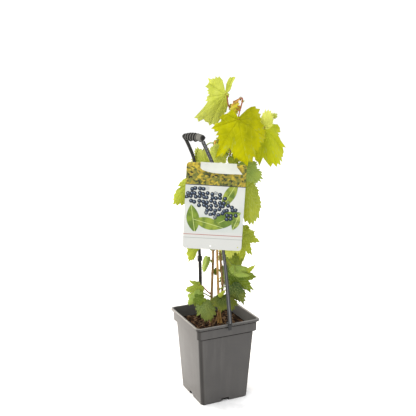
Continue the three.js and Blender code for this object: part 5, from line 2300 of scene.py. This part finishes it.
        # painted shade on the faces inside each slot
        for face in bm.faces:
            x, y, z = (abs(v) / MM for v in face.calc_center_median())
            in_slot = min(x, y) < wide / 2 and z < high / 2 + 0.2
            if in_slot and self.slot_end - 0.5 < max(x, y) < self.foot:
                face.material_index = PotSkin.CREASE.slot
        # a near-black plate just inside each slot: painted shade seen through it
        for side in range(4):
            turn = Matrix.Rotation(side * math.pi / 2, 4, "Z")
            place = turn @ Matrix.Translation((0, self.shade_plate_in - self.slot_end, self.shade_plate_height))
            round_off, slot = self.shade_plate_round * MM, PotSkin.CREASE.slot
            softened_box(bm, self.shade_plate_size, Matrix.Scale(MM, 4) @ place, round_off, slot)
        bm.to_mesh(whole)
        bm.free()
        pot.data = whole
        pot.data.name = pot.name


@dataclass
class BarkMix:
    """The bark mix in the pot: an uneven bed with loose chips on it."""

    half: float = 77.4
    under_half: float = 72.0
    under: float = 2.9
    corner: float = 12.0
    bed_steps: int = 40
    dip: float = 1.8
    low: float = 181.2
    calm: float = 30.0
    chips: int = 2600
    long: tuple[float, float] = (3.0, 11.0)
    wide: tuple[float, float] = (0.35, 0.7)
    thick: tuple[float, float] = (0.15, 0.35)
    pitch: float = 0.6
    bank: float = 0.4
    shrink: tuple[float, float] = (0.55, 1.0)
    narrow: tuple[float, float] = (0.5, 1.0)
    pale_power: float = 1.3
    seed: int = 77

    BROWNS = (
        ("bark_chip_dark", "2A1E17"),
        ("bark_chip_brown", "4C3A2B"),
        ("bark_chip_red", "6C4D37"),
        ("bark_chip_pale", "8C7156"),
    )
    CORNERS = (
        (-1, -1, -1), (1, -1, -1), (1, 1, -1), (-1, 1, -1),
        (-1, -1, 1), (1, -1, 1), (1, 1, 1), (-1, 1, 1),
    )
    FACES = ((3, 2, 1, 0), (4, 5, 6, 7), (0, 1, 5, 4), (1, 2, 6, 5), (2, 3, 7, 6), (3, 0, 4, 7))

    def height(self, x: float, y: float) -> float:
        """Gives the height of the bed at a place.

        Args:
            x: The place's x.
            y: The place's y.

        Returns:
            The height above the pot's underside.
        """
        out = max(abs(x), abs(y)) / self.half
        coarse = noise.noise(Vector((x * 0.06, y * 0.06, 3.0))) * 1.8
        fine = noise.noise(Vector((x * 0.2, y * 0.2, 9.0))) * 1.2
        lumps = (coarse + fine) * min(1.0, math.hypot(x, y) / self.calm)
        return max(self.low, Pot.SOIL - 0.6 - self.dip * out**2 + lumps)

    def build(self, effects: Effects) -> list[bpy.types.Object]:
        """Makes the bed and the chips.

        Args:
            effects: The shared node groups.

        Returns:
            The two pieces.
        """
        fine = Finish("bark_fines", "2A1F18", 0.7, 0.95, 0.05, 1.2).build(effects)
        bm = bmesh.new()
        made = bmesh.ops.create_grid(bm, x_segments=self.bed_steps, y_segments=self.bed_steps, size=self.half)
        for vert in made["verts"]:
            x, y = vert.co.x, vert.co.y
            past = [abs(v) - self.half + self.corner for v in (x, y)]
            far = math.hypot(max(0.0, past[0]), max(0.0, past[1]))
            if far > self.corner:
                pull = (far - self.corner) / far
                vert.co.x -= math.copysign(past[0] * pull, x)
                vert.co.y -= math.copysign(past[1] * pull, y)
            vert.co.z = self.height(vert.co.x, vert.co.y)
        skirt = bmesh.ops.extrude_edge_only(bm, edges=[edge for edge in bm.edges if edge.is_boundary])
        low = [item for item in skirt["geom"] if isinstance(item, bmesh.types.BMVert)]
        for vert in low:
            inner = self.under_half / self.half
            vert.co = Vector((vert.co.x * inner, vert.co.y * inner, self.low - self.under))
        bmesh.ops.holes_fill(bm, edges=[edge for edge in bm.edges if edge.is_boundary], sides=0)
        bmesh.ops.recalc_face_normals(bm, faces=bm.faces)
        bed = finished(bm, "bark_bed", (fine,), 60.0)
        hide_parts("soil")
        chips = self.scatter(effects)
        return [bed, chips]

    def scatter(self, effects: Effects) -> bpy.types.Object:
        """Makes the chips: flat angular flakes that lie at all angles on the bed.

        Args:
            effects: The shared node groups.

        Returns:
            The piece.
        """
        browns = [Finish(name, tone, 0.68, 0.85, 0.05, 0.6).build(effects) for name, tone in self.BROWNS]
        sheaf = Sheaf("bark_chips", browns)
        dice = Dice(self.seed)
        for _ in range(self.chips):
            length = dice.between(*self.long)
            size = (length, length * dice.between(*self.wide), length * dice.between(*self.thick))
            reach = self.half - 3 - length / 2
            x, y = dice.between(-reach, reach), dice.between(-reach, reach)
            turn = Matrix.Rotation(dice.between(0, FULL_TURN), 3, "Z")
            turn = turn @ Matrix.Rotation(dice.between(-self.pitch, self.pitch), 3, "X")
            turn = turn @ Matrix.Rotation(dice.between(-self.bank, self.bank), 3, "Y")
            centre = Vector((x, y, self.height(x, y) + size[2] * 0.4))
            corners = []
            for sx, sy, sz in self.CORNERS:
                along_x = sx * size[0] * dice.between(*self.shrink)
                along_y = sy * size[1] * dice.between(*self.narrow)
                corners.append(sheaf.point(centre + turn @ (Vector((along_x, along_y, sz * size[2])) / 2)))
            slot = min(3, int(dice.roll() ** self.pale_power * 4))
            for face in self.FACES:
                sheaf.face([corners[k] for k in face], slot, False)
        return sheaf.build()


# ---- the carry handle and its card ----


@dataclass
class Card:
    """The picture card, as the solid has it."""

    width: float = 138.0
    height: float = 203.0
    thick: float = 0.9
    toward: float = 70.5
    right: float = -1.2
    middle: float = 496.5
    roll: float = 3.3
    lean: float = 1.6
    slip_gap: float = 1.05
    slip_drop: float = 21.0
    slip_bulge: float = 11.0
    slip_thick: float = 0.45
    slip_steps: tuple[int, int] = (20, 36)
    slip_left: tuple[float, float] = (-37.0, 32.0)
    slip_right: tuple[float, float] = (46.0, 13.0)
    slip_curl: float = 1.4

    def axes(self) -> tuple[Vector, Vector, Vector, Vector]:
        """Works out how the card stands.

        Returns:
            Its middle, and its right, up and out directions.
        """
        face, level = along(VIEW_WAY), along(VIEW_WAY + 90)
        out = turned(face, UP, self.lean)
        right = turned(level, out.cross(level), -self.roll)
        centre = face * self.toward + level * self.right + UP * self.middle
        return centre, right, out.cross(right), out

    def on(self, right: float, up: float, out: float) -> Vector:
        """Gives a place on the card."""
        centre, a, b, c = self.axes()
        return centre + a * right + b * up + c * out

    def cloud(self) -> list[Vector]:
        """Gives points on both faces, for the tests for room.

        Returns:
            The points, in columns from the left.
        """
        sides = (self.thick, -self.thick)
        spots = [(i / 12 * self.width, k / 16 * self.height) for i in range(-6, 7) for k in range(-8, 9)]
        return [self.on(right, up, out) for right, up in spots for out in sides]

    def build(self, effects: Effects) -> list[bpy.types.Object]:
        """Dresses the card, whose solid is right as it is, and makes the slip.

        Args:
            effects: The shared node groups.

        Returns:
            The card's node and the slip.
        """
        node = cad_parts["picture_card"]
        node.data.materials.clear()
        node.data.materials.append(PrintFinish("card_print", "DCDCD8", 0.74, 0.3, 0.3).build(effects))
        return [node, self.slip(effects)]

    def slip(self, effects: Effects) -> bpy.types.Object:
        """Makes the paper slip, folded over the card's top edge, whose front stands out and curls in at its corner.

        Args:
            effects: The shared node groups.

        Returns:
            The piece.
        """
        top, gap, drop, bulge = self.height / 2, self.slip_gap, self.slip_drop, self.slip_bulge
        line = spline([
            (0, -gap, top - 8), (0, -gap, top - 2), (0, -gap / 2, top + gap), (0, gap / 2, top + gap),
            (0, gap + 0.3, top - 2), (0, gap + bulge * 0.5, top - drop / 2), (0, gap + bulge, top - drop),
        ])
        across, steps = self.slip_steps
        bm = bmesh.new()
        made = bmesh.ops.create_grid(bm, x_segments=across, y_segments=steps, size=0.5)
        for vert in made["verts"]:
            share, side = vert.co.y + 0.5, vert.co.x + 0.5
            front = max(0.0, 2 * share - 1)
            place, lead = line.at(share), line.lead(share)
            left_edge = self.slip_left[0] + self.slip_left[1] * front**4
            right_edge = self.slip_right[0] + self.slip_right[1] * front
            curl = self.slip_curl * front * math.sin(math.pi * 1.3 * side)
            off = Vector((0, lead.z, -lead.y)) * (curl + self.slip_thick / 2)
            vert.co = self.on(lerp(left_edge, right_edge, side), place.z + off.z, place.y + off.y)
        bmesh.ops.solidify(bm, geom=list(bm.faces), thickness=-self.slip_thick)
        bmesh.ops.recalc_face_normals(bm, faces=bm.faces)
        paper = Finish("slip_paper", "F0F2E6", 0.62, 0.75, 0.1, 0.08).build(effects)
        slip = finished(bm, "folded_slip", (paper,), 50.0)
        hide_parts("paper_slip")
        return slip


@dataclass
class Handle:
    """The carry handle: two channelled straps, their hooks, and a ribbed grip."""

    thick: float = 3.6
    hook_drop: float = 14.0
    hook_bridge: float = 3.2
    hook_inner: float = 2.2
    hook_width: float = 8.4
    buckle_height: float = 331.0
    buckle: tuple[float, float, float] = (11.5, 7.0, 13.0)
    pad_heights: tuple[float, float] = (-0.36, 0.4)
    pad: tuple[float, float] = (11.0, 16.0)
    pad_sunk: float = 1.5
    grip_half: float = 57.0
    grip_height: float = 649.0
    grip_lean: float = 55.0
    grip_wide: float = 6.5
    grip_above: float = 6.0
    grip_below: float = 7.5
    grip_arch: float = 6.5
    grip_rise: float = 8.0
    fingers: int = 4
    hollow: float = 1.6
    ribs: int = 8
    ribbed: tuple[float, float] = (0.25, 0.97)
    rib: float = 1.8
    slant: float = 1.1
    rung_gap: float = 7.0
    rungs_from: float = 560.0
    rung: tuple[float, float, float] = (0.42, 1.1, 1.6)
    rung_out: float = 0.4
    rung_round: float = 0.3
    buckle_round: float = 0.6
    hook_round: float = 0.7
    pad_round: float = 0.8
    steps: int = 120
    floor_half: float = 0.12
    floor_depth: float = 0.3
    flange: tuple[float, float, float] = (12.2, 7.8, 1.6)
    flange_off: float = 4.5
    grip_steps: tuple[int, int] = (28, 240)
    end_size: float = 0.72
    end_rise: float = 5.0
    rib_top: float = 0.8
    highlight_from: float = 0.04

    STRAP = (
        (213, 0, 88.6, 9.5), (235, 0.5, 85.5, 9.2), (275, 2, 80, 8.6), (340, 6, 75, 7.4), (390, 10.5, 70, 6.6),
        (470, 17, 62.5, 7), (550, 25, 56, 7.4), (595, 31, 54, 7.8), (622, 42, 52.5, 8), (648, 54.5, 52, 8.6),
    )
    SECTION = (
        (-1, -0.8), (-0.88, -1), (0.88, -1), (1, -0.8), (1, 0.8), (0.9, 1), (0.55, 1), (0.45, 0.85),
        (0.38, 0.35), (-0.38, 0.35), (-0.45, 0.85), (-0.55, 1), (-0.9, 1), (-1, 0.8),
    )

    def strap_line(self, side: int) -> Line:
        """Gives the centre line of the front (-1) or back (1) strap."""
        return spline([(-lean, side * half, z) for z, lean, half, _ in self.STRAP])

    def grip_line(self) -> Line:
        """Gives the middle line of the grip."""
        return spline([(-self.grip_lean, y, self.grip_height) for y in (-self.grip_half, 0, self.grip_half)])

    def width(self, z: float) -> float:
        """Gives the strap's width at a height."""
        return from_table([(row[0], row[3]) for row in self.STRAP], z)

    def strap_frame(self, line: Line, side: int, share: float) -> tuple[Vector, Vector, Vector, Vector]:
        """Works out how a strap lies at a place.

        Args:
            line: Its centre line.
            side: -1 for the front and 1 for the back.
            share: The share of its length.

        Returns:
            Its centre, and its wide, out and lead directions.
        """
        lead = line.lead(share)
        out = (Vector((0, side, 0)) - lead * (lead.y * side)).normalized()
        return line.at(share), lead.cross(out).normalized(), out, lead

    def at_height(self, line: Line, z: float) -> float:
        """Gives the share of a strap's length at which it is at a height."""
        return min((abs(line.at(k / 200).z - z), k / 200) for k in range(201))[1]

    def build(self, effects: Effects) -> list[bpy.types.Object]:
        """Makes the straps and the grip.

        Args:
            effects: The shared node groups.

        Returns:
            The three pieces.
        """
        skins = (
            PlasticFinish("handle_plastic", "28292B", 1.0, 0.5, 0.25, 0.05, scuff=0.04).build(effects),
            PlasticFinish("handle_channel_painted_highlight", "66676A", 1.0, 0.55, 0.25, 0.05, scuff=0.1).build(effects),
        )
        grips = (
            PlasticFinish("grip_plastic", "1A1B1C", 1.0, 0.7, 0.05, 0.05, scuff=0.02).build(effects),
            PlasticFinish("grip_painted_highlight", "444644", 1.0, 0.7, 0.05, 0.05, scuff=0.1).build(effects),
        )
        front = self.strap(-1, "handle_front", "front_strap", skins)
        back = self.strap(1, "handle_back", "back_strap", skins)
        grip = self.grip(grips)
        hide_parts("grip")
        return [front, back, grip]

    def strap(self, side: int, name: str, node: str, skins: Sequence[bpy.types.Material]) -> bpy.types.Object:
        """Makes a strap with its hook, and its buckle or pads.

        Args:
            side: -1 for the front and 1 for the back.
            name: The name of the piece.
            node: The solid that it stands for.
            skins: Its dark finish, and the lighter one of the channel's floor, a painted highlight.

        Returns:
            The piece.
        """
        line, steps = self.strap_line(side), self.steps
        frames = [self.strap_frame(line, side, k / steps) for k in range(steps + 1)]
        bm = bmesh.new()

        def place(corner: int, share: float) -> Vector:
            """Gives a point of the channelled section."""
            centre, wide, out, _ = frames[round(share * steps)]
            a, b = self.SECTION[corner]
            return centre + wide * (a * self.width(centre.z) / 2) + out * (b * self.thick / 2)

        rolled(bm, len(self.SECTION), steps, place)
        # painted highlight: the channel's floor takes the lighter grey
        for face in bm.faces:
            centre, wide, out, _ = frames[round(self.at_height(line, face.calc_center_median().z) * steps)]
            off = face.calc_center_median() - centre
            in_middle = abs(off.dot(wide)) < self.width(centre.z) * self.floor_half
            face.material_index = int(in_middle and 0 < off.dot(out) < self.thick * self.floor_depth)
        self.hook(bm, side)
        rungs = int(line.length / self.rung_gap)
        for k in range(2, rungs):
            centre, wide, out, lead = self.strap_frame(line, side, k / rungs)
            if centre.z < self.rungs_from:
                continue
            across = self.width(centre.z) * self.rung[0]
            turn = Matrix((wide, out, lead)).transposed().to_4x4()
            place_rung = Matrix.Translation(centre + out * self.rung_out) @ turn
            softened_box(bm, (across, *self.rung[1:]), place_rung, self.rung_round)
        if side > 0:
            share = self.at_height(line, self.buckle_height)
            centre, wide, out, lead = self.strap_frame(line, side, share)
            turn = Matrix((wide, out, lead)).transposed().to_4x4()
            for lift, size in ((0.0, self.buckle), (self.flange_off, self.flange), (-self.flange_off, self.flange)):
                softened_box(bm, size, Matrix.Translation(centre + lead * lift) @ turn, self.buckle_round)
        else:
            self.pads(bm, line)
        piece = finished(bm, name, skins, 32.0)
        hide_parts(node)
        return piece

    def hook(self, bm: bmesh.types.BMesh, side: int) -> None:
        """Adds the hook at a strap's foot: an outer finger, a bridge over the lip and an inner finger.

        Args:
            bm: Takes the new geometry.
            side: -1 for the front and 1 for the back.
        """
        pot = Pot()
        near = pot.band - pot.wall - CLEAR - self.hook_inner
        far = pot.lip + CLEAR + self.thick
        top = pot.HEIGHT + CLEAR
        high = top + self.hook_bridge
        for start, end, low in (
            (far - self.thick, far, top - self.hook_drop),
            (near, near + self.hook_inner, top - self.hook_drop),
            (near, far, top),
        ):
            size = (self.hook_width, end - start, high - low)
            middle = Vector((0, side * (start + end) / 2, (high + low) / 2))
            softened_box(bm, size, Matrix.Translation(middle), self.hook_round)

    def pads(self, bm: bmesh.types.BMesh, line: Line) -> None:
        """Adds the pads that the card is fixed to.

        Args:
            bm: Takes the new geometry.
            line: The front strap's centre line.
        """
        card = Card()
        _, right, up, out = card.axes()
        turn = Matrix((right, up, out)).transposed().to_4x4()
        for share in self.pad_heights:
            near = line.at(self.at_height(line, card.on(0, share * card.height, 0).z))
            space = (card.on(0, 0, -card.thick / 2 - CLEAR) - near).dot(out)
            centre = near + out * ((space - self.pad_sunk) / 2)
            softened_box(bm, (*self.pad, space + self.pad_sunk), Matrix.Translation(centre) @ turn, self.pad_round)

    def grip(self, skins: Sequence[bpy.types.Material]) -> bpy.types.Object:
        """Makes the grip: an arched oval bar with slanted ribs, finger hollows below and a smooth near end, with
        painted highlights on the rib tops and on top of the near end.

        Args:
            skins: Its dark finish, and the lighter one, a painted highlight on its rib tops and on top of its near
                end.

        Returns:
            The piece.
        """
        sides, steps = self.grip_steps

        def beat(side: int, share: float) -> float:
            """Gives where a point lies between the bottom of a rib (-1) and its top (1)."""
            angle = FULL_TURN * side / sides
            return math.sin(FULL_TURN * self.ribs * share + self.slant * math.cos(angle))

        def place(side: int, share: float) -> Vector:
            """Gives a point of the grip.

            Args:
                side: The number of the corner of the section.
                share: The share of the grip's length.

            Returns:
                The point.
            """
            end = min(1.0, self.end_size + self.end_rise * min(share, 1 - share))
            above = self.grip_above * end + self.grip_arch * math.sin(math.pi * share)
            below = self.grip_below * end - self.hollow * math.cos(FULL_TURN * self.fingers * share)
            angle = FULL_TURN * side / sides
            high = math.sin(angle)
            inside = self.ribbed[0] < share < self.ribbed[1]
            cut = 1 + self.rib / self.grip_wide * (max(-0.5, min(0.5, beat(side, share) * 2)) - 0.5) * inside
            x = self.grip_wide * end * math.cos(angle) * cut
            z = high * (above if high > 0 else below) * cut + self.grip_rise * (1 - share) ** 2
            y = lerp(-self.grip_half, self.grip_half, share)
            return Vector((x - self.grip_lean, y, self.grip_height + z))

        bm = bmesh.new()
        rolled(bm, sides, steps, place)
        # painted highlight: the rib tops and the upper side of the near end take the lighter grey
        for face in bm.faces:
            middle = face.calc_center_median()
            share = (middle.y + self.grip_half) / (2 * self.grip_half)
            side = math.atan2(middle.z - self.grip_height, middle.x + self.grip_lean) / FULL_TURN * sides
            top = beat(side, share) > self.rib_top and share > self.ribbed[0]
            face.material_index = int(top or (self.highlight_from < share < self.ribbed[0] and side > 0))
        return finished(bm, "handle_grip", skins, 38.0)


# ---- the studio ----


@dataclass
class Studio:
    """The pale floor, the soft lights and the camera."""

    target: tuple[float, float, float] = (-0.0174, 0.0, 0.480)
    azimuth: float = -25.02
    elevation: float = 12.48
    distance: float = 1.685
    lens: float = 60.58
    world: float = 1.12
    lit: tuple[float, float, float] = (0.0, 0.0, 0.4)
    floor_half: float = 12.0

    def build(self, effects: Effects) -> None:
        """Sets up everything that isn't part of the object.

        Args:
            effects: The shared node groups.
        """
        self.camera()
        self.floor(effects)
        self.light("key", (-2.6, -1.2, 1.6), 2.4, 36.0)
        self.light("top", (-0.3, -0.5, 3.0), 2.0, 18.0)
        self.light("mirror", (-1.3, 2.7, 1.1), 3.0, 225.0, "FFF4E4")
        world = bpy.data.worlds.new("studio")
        world.use_nodes = True
        sky = world.node_tree.nodes["Background"]
        sky.inputs["Color"].default_value = (1.0, 1.0, 1.0, 1.0)
        sky.inputs["Strength"].default_value = self.world
        bpy.context.scene.world = world
        bpy.context.scene.view_settings.view_transform = "Standard"

    def camera(self) -> None:
        """Makes the camera at the photograph's viewing angle."""
        a, e = math.radians(self.azimuth), math.radians(self.elevation)
        back = Vector((math.sin(a) * math.cos(e), -math.cos(a) * math.cos(e), math.sin(e)))
        data = bpy.data.cameras.new("camera")
        data.lens, data.sensor_width = self.lens, 36.0
        camera = bpy.data.objects.new("camera", data)
        camera.location = Vector(self.target) + back * self.distance
        camera.rotation_euler = back.to_track_quat("Z", "Y").to_euler()
        bpy.context.scene.collection.objects.link(camera)
        bpy.context.scene.camera = camera

    def floor(self, effects: Effects) -> None:
        """Makes the floor.

        Args:
            effects: The shared node groups.
        """
        bm = bmesh.new()
        bmesh.ops.create_grid(bm, x_segments=1, y_segments=1, size=self.floor_half)
        mesh = bpy.data.meshes.new("floor")
        bm.to_mesh(mesh)
        bm.free()
        mesh.materials.append(Finish("floor_paint", "FFFFFF", 1.0, 0.6, 0.2, 0.02).build(effects))
        floor = bpy.data.objects.new("floor", mesh)
        bpy.context.scene.collection.objects.link(floor)

    def light(
        self, name: str, place: tuple[float, float, float], size: float, power: float, tone: str = "FFFFFF"
    ) -> None:
        """Makes a soft square light that looks at the plant.

        Args:
            name: Its name.
            place: Where it stands, in metres.
            size: The length of its side.
            power: Its power in watts.
            tone: Its colour.
        """
        data = bpy.data.lights.new(name, "AREA")
        data.shape, data.size, data.energy = "SQUARE", size, power
        data.color = hue(tone)[:3]
        light = bpy.data.objects.new(name, data)
        light.location = place
        light.rotation_euler = (Vector(place) - Vector(self.lit)).to_track_quat("Z", "Y").to_euler()
        bpy.context.scene.collection.objects.link(light)


def main() -> None:
    """Builds the dressed part and its studio, and logs the faces of each piece."""
    effects = Effects()
    limbs = Limbs()
    pieces: list[bpy.types.Object] = []
    pieces += Pot().build(effects)
    pieces += BarkMix().build(effects)
    pieces += Stems().build(limbs, effects)
    pieces += Foliage().build(limbs, effects)
    pieces += Handle().build(effects)
    pieces += Card().build(effects)
    for piece in pieces:
        LOG.info("%s: %d faces", piece.name, len(piece.data.polygons))
    Studio().build(effects)


if __name__ == "__main__":
    logging.basicConfig(level=logging.INFO, format="%(message)s")
    main()
